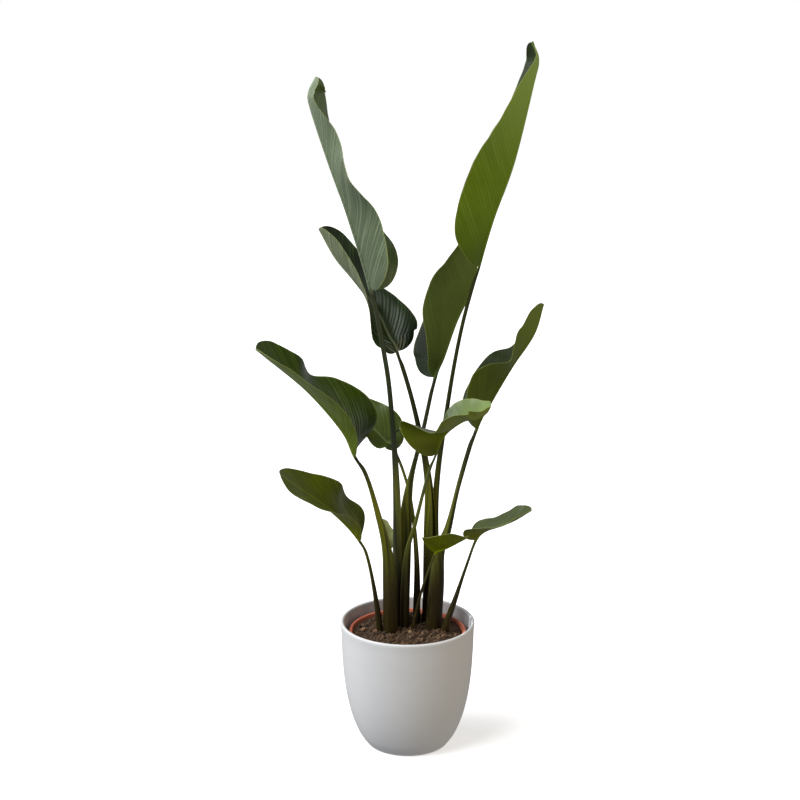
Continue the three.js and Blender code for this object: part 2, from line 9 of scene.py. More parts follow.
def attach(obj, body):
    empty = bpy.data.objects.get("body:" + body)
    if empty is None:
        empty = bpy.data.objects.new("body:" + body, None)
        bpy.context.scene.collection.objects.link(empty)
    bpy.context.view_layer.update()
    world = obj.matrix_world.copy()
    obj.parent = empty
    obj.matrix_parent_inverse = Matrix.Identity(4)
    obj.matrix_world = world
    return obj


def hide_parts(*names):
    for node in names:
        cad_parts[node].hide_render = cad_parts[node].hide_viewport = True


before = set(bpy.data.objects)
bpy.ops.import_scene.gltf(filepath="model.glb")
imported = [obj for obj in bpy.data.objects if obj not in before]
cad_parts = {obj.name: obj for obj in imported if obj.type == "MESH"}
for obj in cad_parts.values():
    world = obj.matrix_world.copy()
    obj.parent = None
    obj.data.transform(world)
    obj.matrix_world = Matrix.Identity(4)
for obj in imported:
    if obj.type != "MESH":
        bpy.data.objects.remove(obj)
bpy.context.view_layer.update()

bl_info = {
    "name": "Potted Bird of Paradise",
    "version": (1, 0, 0),
    "blender": (4, 5, 0),
    "location": "View3D > Sidebar > Plant",
    "description": "Builds a potted bird of paradise plant around its packed solids",
    "category": "Add Mesh",
}

MM = 0.001
BODY = "root"

# Sizes of the pots and the soil, in millimetres, as in the part's source
COVER_RIM_RADIUS = 110
COVER_HEIGHT = 212
COVER_FOOT_RADIUS = 64
COVER_FOOT_ROUNDING = 5
COVER_WALL = 5.5
COVER_FLOOR = 9
COVER_BELLY = [
    (0.035, 0.655), (0.1, 0.735), (0.2, 0.815), (0.31, 0.877),
    (0.44, 0.926), (0.6, 0.962), (0.8, 0.985), (0.975, 1),
]
COVER_BEAD = 0.5
COVER_BEAD_DROP = 10
# Where the hollow under the bead begins and is full, and begins and ends to fade, from the drop
COVER_BEAD_HOLLOW = (-3, 1, 4, 40)
COVER_SIDES = 160
COVER_BELLY_ROWS = 60
COVER_FOOT_ROWS = 8
COVER_FOOT_DEGREES = 75
COVER_RIM_ROWS = 16
NURSERY_RIM_RADIUS = 95.5
NURSERY_FOOT_RADIUS = 62
NURSERY_BELOW_COVER_RIM = 16
NURSERY_WALL = 1.8
NURSERY_LIP_WIDTH = 4.5
NURSERY_LIP_HEIGHT = 9
NURSERY_EDGE = 0.8
NURSERY_SIDES = 120
DRAIN_COUNT = 8
DRAIN_RADIUS = 6
DRAIN_CIRCLE = 40
DRAIN_SIDES = 24
DRAIN_CUT = (-4, 6)
SOIL_LEVEL = 190
SOIL_HEAP = 9
SOIL_LUMP = 2.6
SOIL_STEP = 1.6
SOIL_SPOKES = 240
CLEARANCE = 0.3

# Chips and strands on the soil: seeds of their random draws, and points along a strand
CHIP_SEED = 7
STRAND_SEED = 21
STRAND_STEPS = 7
STRAND_SIDES = 3
# Ranges of those draws: a chip's length as a share of its usual one, its width and its height as
# shares of its length, its tilt, how far up it lies and its worn corners, then how strongly the
# shades lean to the dark; a strand's length, bend, radius, shade and share of its arch, then how
# high that arch and all of it are lifted and its room from the stalks
CHIP_LENGTH = (0.45, 1.5)
CHIP_WIDTH = (0.55, 0.9)
CHIP_HEIGHT = (0.3, 0.6)
CHIP_TILT = (-0.5, 0.5)
CHIP_SINK = (-0.1, 0.8)
CHIP_WEAR = (0.45, 1.0)
CHIP_DARKNESS = 1.5
STRAND_LENGTH = (6, 22)
STRAND_BEND = (-0.12, 0.12)
STRAND_RADIUS = (0.16, 0.42)
STRAND_SHADE = (0.5, 1.0)
STRAND_SWELL = (0.2, 1)
STRAND_ARCH = 1.6
STRAND_LIFT = 0.4
STRAND_ROOM = 3

# How the photograph was taken, judged from the cover pot's rim: its distance and elevation, its
# width in pixels, and how far its middle lies right of and below the middle of the frame
FRAME_PIXELS = 800
SENSOR = 36
VIEW_DISTANCE = 2900
VIEW_ELEVATION = math.radians(21.5)
RIM_PIXELS = 134
RIM_RIGHT_PIXELS = 7.5
RIM_DROP_PIXELS = 220
PIXELS_PER_MM = RIM_PIXELS / (2 * COVER_RIM_RADIUS)
SLANT_PIXELS = PIXELS_PER_MM * VIEW_DISTANCE / math.cos(VIEW_ELEVATION)
RIM_ANGLE = math.asin(RIM_DROP_PIXELS / SLANT_PIXELS)
FOCAL_PIXELS = SLANT_PIXELS * math.cos(RIM_ANGLE)

# How a leaf is formed, in millimetres, as in the part's source
BLADE_THICKNESS = 1
BLADE_ROOT_WIDTH = 2.5
SHEATH_WALL = 3.2
BLADE_BASE_ROUNDING = 0.2
BLUNT_BASE_ROUNDING = 0.05
BLADE_TIP_ROUNDING = 0.16
SWEEP_MIDDLE = 0.1
SWEEP_TIP = 0.2
WAVES = 3
STEEPEST = 0.97
KEEL_TAPER = 0.75
ROOT_LEVEL = 140
# Fine form of a blade: how far the rib and the groove over it spread, the groove's depth, and
# where the pleats begin and are full, in keel widths, then how margin and pleats fade outward
RIB_SPREAD = 1.7
GROOVE_SPREAD = 1.3
GROOVE_DEPTH = 0.25
PLEATS_FROM = 1.2
PLEATS_FULL = 4.5
MARGIN_THINNING = 0.45
PLEAT_FADE = 0.5
# How far below the blade the stalk's section turns into the blade's
BASE_BLEND = 30
# Extra rows of points within a blade's first and last step, and columns counted in keel widths
END_STEPS = (0.02, 0.08, 0.2, 0.4, 0.65)
KEEL_COLUMNS = (0, 0.33, 0.7, 1.1, 1.6)
ROUTE_SAMPLES = 600


def half_row(width, rise, curl=(10, 10), wave=1, lobe=0.0, blunt=False):
    return {"width": width, "rise": rise, "curl": curl, "wave": wave, "lobe": lobe, "blunt": blunt}


def leaf_row(name, blade_from, heading, stalk_radius, route, left, right):
    root = (*route[0][:2], ROOT_LEVEL)
    return {"name": name, "blade_from": blade_from, "heading": heading,
            "stalk_radius": stalk_radius, "route": [root, *route], "left": left, "right": right}


# The leaves as in the part's source: the route point where the blade starts, counted from the
# root, the compass of the blade and the stalk's radius at even steps, and the route of the
# stalk's axis and the midrib, whose root leaf_row adds straight below its first point.
# Then come the left and the right half: width, rise of the margin and curl at even steps, height
# of the waves, how far the base lobe reaches back and whether the base is square.
# The route's points began as places read off the photograph, with a depth judged for each.
# Another script turned them into millimetres, and many were changed by hand later.
LEAVES = [
    leaf_row("leaf_tall_left", 5, [180, 180], [8.5, 8.5, 7, 4.6, 4, 3.6], [
        (-17, 16, 195), (-17, 17, 413), (-27, 8, 580), (-38, 0, 666), (-58, -8, 769),
        (-91, -18, 882), (-121, -22, 968), (-147, -24, 1048), (-150, -24, 1073), (-139, -20, 1096)],
        half_row([56, 74, 76, 68, 58, 44, 24], [15, 40, 47, 25, 29, 14, 10], [20, 20, 10, 10], 2, 0.2),
        half_row([64, 75, 76, 66, 56, 44, 26], [42, 50, 22, 8, 12, 22, 30], lobe=0.65)),
    leaf_row("leaf_upper_left", 5, [150, 155, 165, 175, 175], [11, 11, 10.5, 6, 3.8, 3.4], [
        (35.5, 43, 195), (37, 42, 338), (33, 47, 444), (10, 52, 561), (-17, 58, 652),
        (-30, 64, 675), (-45, 70, 707), (-62, 78, 733), (-90, 88, 767), (-117, 98, 798), (-143, 110, 842)],
        half_row([38, 38, 38, 40, 36, 30, 20], [-6, -6, 8, 20, 24, 20, 12], [10, 30, 40, 30, 20], 1, 0.2),
        half_row([40, 50, 41, 34, 42, 40, 28], [16, 40, 25, 8, 26, 26, 20], lobe=0.3)),
    leaf_row("leaf_tall_right", 5, [0, 0], [7, 7, 5.4, 3.9, 3.2, 3.1], [
        (49, 56, 195), (46, 60, 398), (63, 38, 558), (84, 10, 696), (110, -12, 806),
        (130, -24, 880), (160, -38, 970), (187, -50, 1088), (194, -50, 1124), (185, -46, 1150)],
        half_row([40, 66, 78, 72, 58, 38, 26], [-14, 20, 44, 40, 22, 16, 20], lobe=0.1),
        half_row([48, 76, 83, 78, 62, 42, 22], [14, 52, 62, 57, 36, 18, -4], [20, 20, 10, 10], 1, 0.1)),
    leaf_row("leaf_upper_right", 5, [0, 0], [11, 12, 12.5, 11, 4.6, 3.6, 3.2], [
        (-9, 38, 195), (-6, 37, 330), (2, 28, 430), (25, 36, 526), (44, 56, 609),
        (57, 62, 641), (77, 74, 695), (106, 88, 762), (121, 100, 866)],
        half_row([50, 60, 68, 68, 58, 42, 24], [40, 46, 43, 35, 24, 12, 6], lobe=0.3),
        half_row([22, 48, 78, 84, 71, 48, 24], [20, 33, 60, 68, 50, 26, 4], [20, 20, 10, 10], 1, 0)),
    leaf_row("leaf_middle_left", 5, [201, 201], [12, 12.5, 11.5, 6.5, 3.8, 3.4], [
        (-27, -12, 195), (-31, -14, 321), (-49, -18, 406), (-66, -24, 467),
        (-84, -32, 504), (-103, -42, 548), (-155, -62, 616), (-217, -84, 675), (-233, -90, 690)],
        half_row([8, 22, 40, 47, 45, 39, 26], [3, 12, 16, 12, 8, 5, 3], [20, 20], 1, 0),
        half_row([48, 74, 86, 80, 58, 50, 43, 38, 28], [10, 62, 68, 50, 24, 32, 28, 24, 17], lobe=0.45)),
    leaf_row("leaf_low_left", 4, [205, 205], [5.5, 5, 3, 2.4], [
        (-45, -10, 195), (-54, -14, 270), (-66, -22, 333), (-78, -30, 361),
        (-98, -40, 390), (-127, -58, 424), (-163, -78, 458), (-198, -98, 491)],
        half_row([9, 22, 36, 45, 40, 32, 20], [5, 11, 10, 0, -9, -12, -8], [20, 20, 10, 10], 1, 0.1),
        half_row([34, 56, 58, 55, 51, 46, 40, 31, 20], [20, 40, 36, 43, 37, 28, 19, 12, 6],
             [10, 10], 1.5, 0.4)),
    leaf_row("leaf_centre", 5, [-20, -20], [7.5, 7.5, 4, 2.8, 2.4], [
        (-5, 2, 195), (-3, 0, 315), (13, -14, 386), (31, -40, 470), (44, -58, 515),
        (55, -64, 543), (70, -70, 560), (89, -76, 573), (106, -82, 576), (121, -88, 588), (127, -92, 599)],
        half_row([26, 36, 40, 44, 40, 32, 19], [6, 12, 22, 27, 22, 14, 5], [20, 20], 1, 0.1),
        half_row([14, 50, 74, 66, 64, 56, 46, 34, 18], [0, 36, 62, 12, 19, 21, 19, 12, 4],
             [10, 20], 1.5, 0.2, blunt=True)),
    leaf_row("leaf_middle_right", 5, [12, 12], [19, 19, 17, 8.5, 4.2, 3.8, 3.6], [
        (37, 11, 195), (48, 15, 311), (66, 18, 365), (85, 26, 444), (111, 40, 528),
        (134, 46, 571), (168, 58, 626), (203.5, 70, 677), (219, 78, 725)],
        half_row([34, 46, 50, 52, 52, 50, 46, 36, 34, 32, 30, 26, 20],
             [14, 28, 30, 31, 32, 30, 24, 8, 6, 7, 8, 8, 6], lobe=0.1),
        half_row([34, 46, 60, 68, 70, 60, 38, 42, 44, 38, 36, 34, 28],
             [17, 34, 48, 58, 60, 46, 20, 28, 34, 30, 28, 26, 18], [20, 20, 10, 10], 1, 0.1)),
    leaf_row("leaf_back_left", 4, [150, 150], [6, 6, 4, 2.6, 2.4], [
        (15, 24, 195), (15, 32, 307), (4, 50, 410), (-21, 70, 483), (-36, 76, 495),
        (-53, 84, 511), (-79, 95, 531), (-103, 106, 550)],
        half_row([26, 34, 36, 34, 30, 22, 14], [4, 3, 3, 3, 3, 2, 1], lobe=0.1),
        half_row([22, 36, 44, 42, 36, 28, 18], [10, 26, 33, 32, 26, 20, 12], lobe=0.05)),
    leaf_row("leaf_low_right", 4, [-25, -25], [6, 5.5, 2.8, 2], [
        (61, -9, 195), (80, -12, 261), (97, -17, 318), (110, -24, 359),
        (124, -32, 377), (147, -46, 390), (170, -58, 404), (195, -70, 424)],
        half_row([30, 29, 24, 26, 27, 19, 9], [20, 17, 11, 13, 16, 11, 6], lobe=0.7),
        half_row([30, 32, 28, 26, 24, 18, 12], [22, 18, 9, 4, 3, 3, 2], lobe=0.3)),
    leaf_row("leaf_small_front", 4, [-58, -58], [3.4, 3.2, 2, 1.8], [
        (8, -10, 195), (22, -16, 266), (39, -28, 323), (45, -34, 340),
        (56, -46, 350), (68, -58, 360), (93, -76, 380)],
        half_row([14, 16, 16, 15, 14, 12, 9], [4, 4, 5, 6, 6, 5, 3], [20, 10], 0, 0.3),
        half_row([24, 35, 39, 37, 33, 28, 18], [20, 26, 22, 17, 14, 11, 6], [10, 10], 0, 0.3)),
    leaf_row("leaf_small_back", 3, [140, 140], [4, 4, 2.2, 1.9], [
        (-30, 42, 195), (-30, 54, 263), (-32, 66, 314), (-38, 75, 334), (-45, 84, 357)],
        half_row([10, 16, 18, 16, 12, 10, 6], [4, 6, 7, 6, 5, 4, 3], [20, 10], 0, 0.3),
        half_row([10, 16, 18, 16, 12, 10, 6], [3, 5, 6, 5, 4, 3, 2], [10, 10], 0, 0.3)),
]


def colour_setting(name, about, default):
    return bpy.props.FloatVectorProperty(
        name=name, description=about, subtype="COLOR", size=3, min=0, max=1, default=default)


def length_setting(name, about, low, high, default):
    return bpy.props.FloatProperty(
        name=name, description=about, subtype="DISTANCE", unit="LENGTH", min=low, max=high, default=default)


def power_setting(name, about, high, default):
    return bpy.props.FloatProperty(
        name=name, description=about, unit="POWER", min=0, max=high, default=default)


def plain_setting(name, about, high, default):
    return bpy.props.FloatProperty(name=name, description=about, min=0, max=high, default=default)


def count_setting(name, about, low, high, default):
    return bpy.props.IntProperty(name=name, description=about, min=low, max=high, default=default)


class PotSettings(bpy.types.PropertyGroup):
    glaze: colour_setting("Glaze", "Colour of the cover pot's satin glaze", (0.66, 0.655, 0.65))
    glaze_roughness: bpy.props.FloatProperty(
        name="Glaze roughness", description="How satin the cover pot's glaze is",
        subtype="FACTOR", min=0, max=1, default=0.42)
    terracotta: colour_setting("Terracotta plastic", "Colour of the nursery pot", (0.58, 0.155, 0.08))
    lip_width: length_setting(
        "Lip width", "Width of the nursery pot's turned lip", 0.002, 0.01, NURSERY_LIP_WIDTH * MM)


class SoilSettings(bpy.types.PropertyGroup):
    bark: colour_setting("Bark", "Colour of the moist bark and coir", (0.085, 0.043, 0.015))
    dry_coir: colour_setting("Dry coir", "Colour of the driest fibres on top", (0.3, 0.185, 0.095))
    chips: count_setting("Chips", "How many chips of bark lie on the soil", 0, 900, 240)
    chip_size: length_setting("Chip size", "Length of a middling chip", 0.002, 0.02, 0.0062)
    strands: count_setting("Strands", "How many strands of coir lie on the soil", 0, 600, 480)


class LeafSettings(bpy.types.PropertyGroup):
    ring_gap: length_setting(
        "Blade step", "Distance between the blade's rows of points", 0.001, 0.01, 0.0021)
    stalk_gap: length_setting(
        "Stalk step", "Distance between the stalk's rows of points", 0.002, 0.02, 0.006)
    columns: count_setting("Columns", "Points across each half of a blade", 8, 40, 20)
    vein_gap: length_setting(
        "Vein gap", "Distance between the main side veins along the midrib", 0.002, 0.03, 0.009)
    vein_slant: plain_setting(
        "Vein slant", "How far a side vein runs forward for each step outward", 3, 1.2)
    margin_ripple: length_setting(
        "Margin ripple", "Height of the small ripples along the margin", 0, 0.004, 0.0004)


class StageSettings(bpy.types.PropertyGroup):
    floor: colour_setting("Floor", "Colour of the plain floor", (0.97, 0.97, 0.97))
    key_power: power_setting("Key light", "Power of the large soft light on the left", 500, 25)
    fill_power: power_setting("Fill light", "Power of the weak warm light on the right", 500, 14)
    back_power: power_setting("Back light", "Power of the soft light behind the plant on the left", 500, 22)
    pot_power: power_setting("Pot light", "Power of the narrow light on the pot's mouth", 10, 0.03)
    overhead: plain_setting("Overhead light", "Strength of the soft light from above", 10, 2.7)
    ambient: plain_setting("Ambient", "Strength of the even light from all round", 2, 0.3)
    camera_distance: length_setting(
        "Camera distance", "Distance from the camera to the pot's axis", 1, 6, VIEW_DISTANCE * MM)
    camera_height: length_setting(
        "Camera height", "Height of the camera above the floor", 0.2, 3,
        (COVER_HEIGHT + VIEW_DISTANCE * math.tan(VIEW_ELEVATION)) * MM)
    camera_pitch: bpy.props.FloatProperty(
        name="Camera pitch", description="How far the camera looks down",
        subtype="ANGLE", unit="ROTATION", min=0, max=1.5, default=VIEW_ELEVATION - RIM_ANGLE)


def operator_of(operation, swapped=False):
    """A method of Wire that adds one Math node."""
    def apply(self, other=0.0):
        pair = (other, self) if swapped else (self, other)
        return self.maker.node("ShaderNodeMath", {"operation": operation}, dict(enumerate(pair)))
    return apply


class Wire:
    """A number that varies over a surface. Sums on it add Math nodes."""

    def __init__(self, maker, socket):
        self.maker = maker
        self.socket = socket

    __add__ = __radd__ = operator_of("ADD")
    __sub__ = operator_of("SUBTRACT")
    __rsub__ = operator_of("SUBTRACT", swapped=True)
    __mul__ = __rmul__ = operator_of("MULTIPLY")
    __abs__ = operator_of("ABSOLUTE")
    sine = operator_of("SINE")

    def smooth(self, low, high):
        """0 below low, 1 above high, smooth between."""
        return self.maker.node(
            "ShaderNodeMapRange", {"interpolation_type": "SMOOTHSTEP"},
            {"Value": self, "From Min": low, "From Max": high})


class Finish:
    """One material and the nodes in it."""

    def __init__(self, name):
        self.material = bpy.data.materials.new(name)
        self.material.use_nodes = True
        self.tree = self.material.node_tree
        self.tree.nodes.clear()

    def node(self, kind, settings=None, sockets=None, output=0):
        made = self.tree.nodes.new(kind)
        for key, value in (settings or {}).items():
            if key == "stops":
                self.set_stops(made.color_ramp, value)
            else:
                setattr(made, key, value)
        for key, value in (sockets or {}).items():
            socket = made.inputs[key]
            if isinstance(value, Wire):
                self.tree.links.new(value.socket, socket)
            else:
                socket.default_value = (*value, 1) if socket.type == "RGBA" else value
        return Wire(self, made.outputs[output])

    @staticmethod
    def set_stops(ramp, stops):
        while len(ramp.elements) < len(stops):
            ramp.elements.new(1)
        for element, (place, colour) in zip(ramp.elements, stops):
            element.position = place
            element.color = (*colour, 1)

    def value(self, name):
        """A number kept at each point of the mesh."""
        return self.node("ShaderNodeAttribute", {"attribute_name": name}, output="Fac")

    def place(self):
        return self.node("ShaderNodeTexCoord", output="Object")

    def vector(self, x, y, z=0.0):
        return self.node("ShaderNodeCombineXYZ", None, {"X": x, "Y": y, "Z": z})

    def height(self):
        """Height in metres in the piece's own axes, which start on the floor."""
        return self.node("ShaderNodeSeparateXYZ", None, {0: self.place()}, output="Z")

    def noise(self, vector, scale, detail, roughness):
        return self.node(
            "ShaderNodeTexNoise", None,
            {"Vector": vector, "Scale": scale, "Detail": detail, "Roughness": roughness}, output="Fac")

    def mix(self, share, low, high):
        """Between two colours, which are triples or colour wires."""
        return self.node("ShaderNodeMix", {"data_type": "RGBA"}, {0: share, 6: low, 7: high}, output=2)

    def ramp(self, share, stops):
        return self.node("ShaderNodeValToRGB", {"stops": stops}, {"Fac": share})

    def bump(self, height, distance, strength):
        return self.node(
            "ShaderNodeBump", None, {"Height": height, "Distance": distance, "Strength": strength})

    def close(self, colour, roughness, normal=None, **others):
        """Ends the material in one shader; others are its further sockets, with _ for a space."""
        sockets = {"Base Color": colour, "Roughness": roughness}
        if normal is not None:
            sockets["Normal"] = normal
        sockets.update({key.replace("_", " "): value for key, value in others.items()})
        shader = self.node("ShaderNodeBsdfPrincipled", None, sockets)
        end = self.tree.nodes.new("ShaderNodeOutputMaterial")
        self.tree.links.new(shader.socket, end.inputs["Surface"])
        return self.material


def add_mesh(name, points, faces, material, values=None, sharp_angle=None):
    """A mesh object in metres from points in millimetres, with numbers kept at its points."""
    mesh = bpy.data.meshes.new(name)
    mesh.from_pydata([tuple(p) for p in np.asarray(points) * MM], [], faces)
    mesh.validate()
    for key, numbers in (values or {}).items():
        layer = mesh.attributes.new(key, "FLOAT", "POINT")
        layer.data.foreach_set("value", np.asarray(numbers, dtype=np.float32))
    mesh.polygons.foreach_set("use_smooth", [True] * len(mesh.polygons))
    if sharp_angle is not None:
        mesh.set_sharp_from_angle(angle=math.radians(sharp_angle))
    mesh.materials.append(material)
    thing = bpy.data.objects.new(name, mesh)
    bpy.context.scene.collection.objects.link(thing)
    return thing


def settle(thing, node):
    """The piece stands for a node, whose own mesh is hidden, and rides on the body."""
    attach(thing, BODY)
    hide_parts(node)


def on_route(route, t):
    """Points of the smooth curve through a route at shares t of its point count."""
    route = np.asarray(route, float)
    last = len(route) - 1
    reach = np.vstack([2 * route[0] - route[1], route, 2 * route[-1] - route[-2]])
    x = np.clip(t, 0, 1) * last
    i = np.minimum(np.floor(x).astype(int), last - 1)
    w = (x - i)[:, None]
    before, start, end, after = reach[i], reach[i + 1], reach[i + 2], reach[i + 3]
    leave, arrive = (end - before) / 2, (after - start) / 2
    cubic = 2 * start - 2 * end + leave + arrive
    square = 3 * end - 3 * start - 2 * leave - arrive
    return ((cubic * w + square) * w + leave) * w + start


def keyed(values, s):
    """One row of values at even steps, read at shares s of the way."""
    return on_route(np.asarray(values, float)[:, None], np.asarray(s, float))[:, 0]


def even_steps(route, start, end, gap, extra=()):
    """Places between two shares of a route that lie gap apart along it, and its length there."""
    fine = np.linspace(start, end, ROUTE_SAMPLES)
    points = on_route(route, fine)
    run = np.concatenate([[0], np.cumsum(np.linalg.norm(np.diff(points, axis=0), axis=1))])
    count = max(8, round(run[-1] / gap))
    steps = np.arange(count + 1, dtype=float)
    ends = np.asarray(extra)
    steps = np.concatenate([steps, ends, count - ends])
    steps = np.unique(steps) / count
    return np.interp(steps * run[-1], run, fine), steps, run[-1]


def axes_at(route, t, heading):
    """Points on a route with the directions along it, to its left and out of the top face."""
    step = 1e-3
    along = on_route(route, np.minimum(t + step, 1)) - on_route(route, np.maximum(t - step, 0))
    along /= np.linalg.norm(along, axis=1)[:, None]
    angle = np.radians(heading)
    left = np.stack([-np.sin(angle), np.cos(angle), np.zeros_like(angle)], -1)
    left -= (left * along).sum(1)[:, None] * along
    left /= np.linalg.norm(left, axis=1)[:, None]
    return {"point": on_route(route, t), "along": along, "left": left, "up": np.cross(along, left)}


def smoothstep(low, high, x):
    share = np.clip((x - low) / (high - low), 0, 1)
    return share * share * (3 - 2 * share)


# Sines that vary a blade along its veins: height, length in millimetres and shift on a side
VEIN_WANDER = ((1.4, 23, 1), (0.7, 9.7, 2))
PLEAT_CHANGE = ((0.3, 17.3, 1), (0.25, 6.1, 3))
PLEAT_SHARE = 0.55


def waved(start, run, side, waves):
    for height, length, shift in waves:
        start = start + height * np.sin(run / length + shift * side)
    return start


def end_share(s, base_rounding):
    """Quarter ellipses round off the blade's two ends."""
    base = np.minimum(s / base_rounding, 1)
    tip = np.minimum((1 - s) / BLADE_TIP_ROUNDING, 1)
    return np.sqrt(np.clip(1 - (1 - base) ** 2, 0, 1)) * np.sqrt(np.clip(1 - (1 - tip) ** 2, 0, 1))


# Length of the margin's two ripples, in millimetres a radian
BROAD_RIPPLE = 11
FINE_RIPPLE = 4.9


def blade_half(leaf, look, axes, s, length, side, columns, settings):
    """Both faces of one half of a blade, and what its material reads, as rows by columns."""
    half = leaf["left"] if side > 0 else leaf["right"]
    full = np.maximum(keyed(half["width"], s), 1)
    ends = end_share(s, BLUNT_BASE_ROUNDING if half["blunt"] else BLADE_BASE_ROUNDING)
    width = (full * ends + BLADE_ROOT_WIDTH)[:, None]
    keel = (leaf["stalk_radius"][-1] * (1 - KEEL_TAPER * s))[:, None]
    near = len(KEEL_COLUMNS) - 1
    t = np.zeros((len(s), columns + 1))
    for j, share in enumerate(KEEL_COLUMNS):
        t[:, j] = np.minimum(share * keel / width, j / columns)[:, 0]
    for j in range(near + 1, columns + 1):
        t[:, j] = t[:, near] + (1 - t[:, near]) * (j - near) / (columns - near)
    curl = np.radians(np.maximum(keyed(half["curl"], s), 1))[:, None]
    lean = np.arcsin(np.clip(keyed(half["rise"], s) / full, -STEEPEST, STEEPEST))[:, None]
    fold = lean - curl / 2
    turn = fold + curl * t
    across = side * width * (np.sin(turn) - np.sin(fold)) / curl
    rise = width * (np.cos(fold) - np.cos(turn)) / curl
    lobe = half["lobe"]
    sweep = keyed([-lobe, -lobe / 3, SWEEP_MIDDLE, SWEEP_TIP, SWEEP_TIP], s)[:, None]
    wave = half["wave"] * t * t * (np.sin(2 * np.pi * WAVES * s) * ends)[:, None]
    ahead = sweep * width * t
    run = s[:, None] * length + ahead
    out = t * width
    vein = run - out * settings.vein_slant
    vein = waved(vein, vein, side, VEIN_WANDER)
    gap = settings.vein_gap / MM
    body = smoothstep(PLEATS_FROM * keel, PLEATS_FULL * keel, out) * ends[:, None]
    uneven = waved(PLEAT_SHARE, vein, side, PLEAT_CHANGE)
    pleat = look["pleat"] * uneven * np.sin(2 * np.pi * vein / gap) * body * (1 - PLEAT_FADE * t ** 4)
    ripple = settings.margin_ripple / MM * t ** 3 * ends[:, None]
    ripple = ripple * (np.sin(run / BROAD_RIPPLE + 2 * side) + 0.6 * np.sin(run / FINE_RIPPLE + 5))
    lift = (wave + pleat + ripple)[:, :, None]
    left, up, along = (axes[key][:, None, :] for key in ("left", "up", "along"))
    normal = up * np.cos(turn)[:, :, None] - side * left * np.sin(turn)[:, :, None]
    normal[:, 0] = axes["up"]
    middle = (axes["point"][:, None, :] + left * across[:, :, None] + up * rise[:, :, None]
              + along * ahead[:, :, None] + normal * lift)
    rib = keel * 0.5 * (1 + np.cos(np.pi * np.minimum(out / (RIB_SPREAD * keel), 1)))
    groove = GROOVE_DEPTH * keel * 0.5 * (1 + np.cos(np.pi * np.minimum(out / (GROOVE_SPREAD * keel), 1)))
    thick = BLADE_THICKNESS / 2 * (1 - MARGIN_THINNING * t ** 4)
    under = middle - normal * (thick + rib)[:, :, None]
    top = middle + normal * (thick - groove)[:, :, None]
    return {"under": under, "top": top, "vein": vein, "reach": t * side, "out": out * side}


# How far round a stalk wraps, in degrees to each side: thick ones wrap less
WRAP_THIN = 165
WRAP_LOSS_PER_MM = 2
WRAP_LEAST = 120
WRAP_MOST = 150
# A sheath's wall as a share of its radius at most, and how it thins to its edges on stalks whose
# radius lies between these two
WALL_SHARE = 0.6
EDGE_THINNING = 0.7
THICK_STALK = (5, 9)


def stalk_rows(leaf, axes, u, columns):
    """Both faces of the stalk and sheath, a channel that clasps the ones inside it."""
    radius = keyed(leaf["stalk_radius"], u)[:, None]
    wall = np.minimum(SHEATH_WALL, WALL_SHARE * radius)
    wrap = np.radians(np.clip(WRAP_THIN - WRAP_LOSS_PER_MM * radius, WRAP_LEAST, WRAP_MOST))
    q = np.linspace(-1, 1, 2 * columns + 1)[None, :]
    angle = wrap * q
    left, up = axes["left"][:, None, :], axes["up"][:, None, :]
    outward = left * np.sin(angle)[:, :, None] - up * np.cos(angle)[:, :, None]
    edge = smoothstep(0.5, 1, np.abs(q)) * smoothstep(*THICK_STALK, radius)
    thin = wall * (1 - EDGE_THINNING * edge)
    point = axes["point"][:, None, :]
    under = point + outward * radius[:, :, None]
    top = point + outward * (radius - thin)[:, :, None]
    return under, top, angle * radius


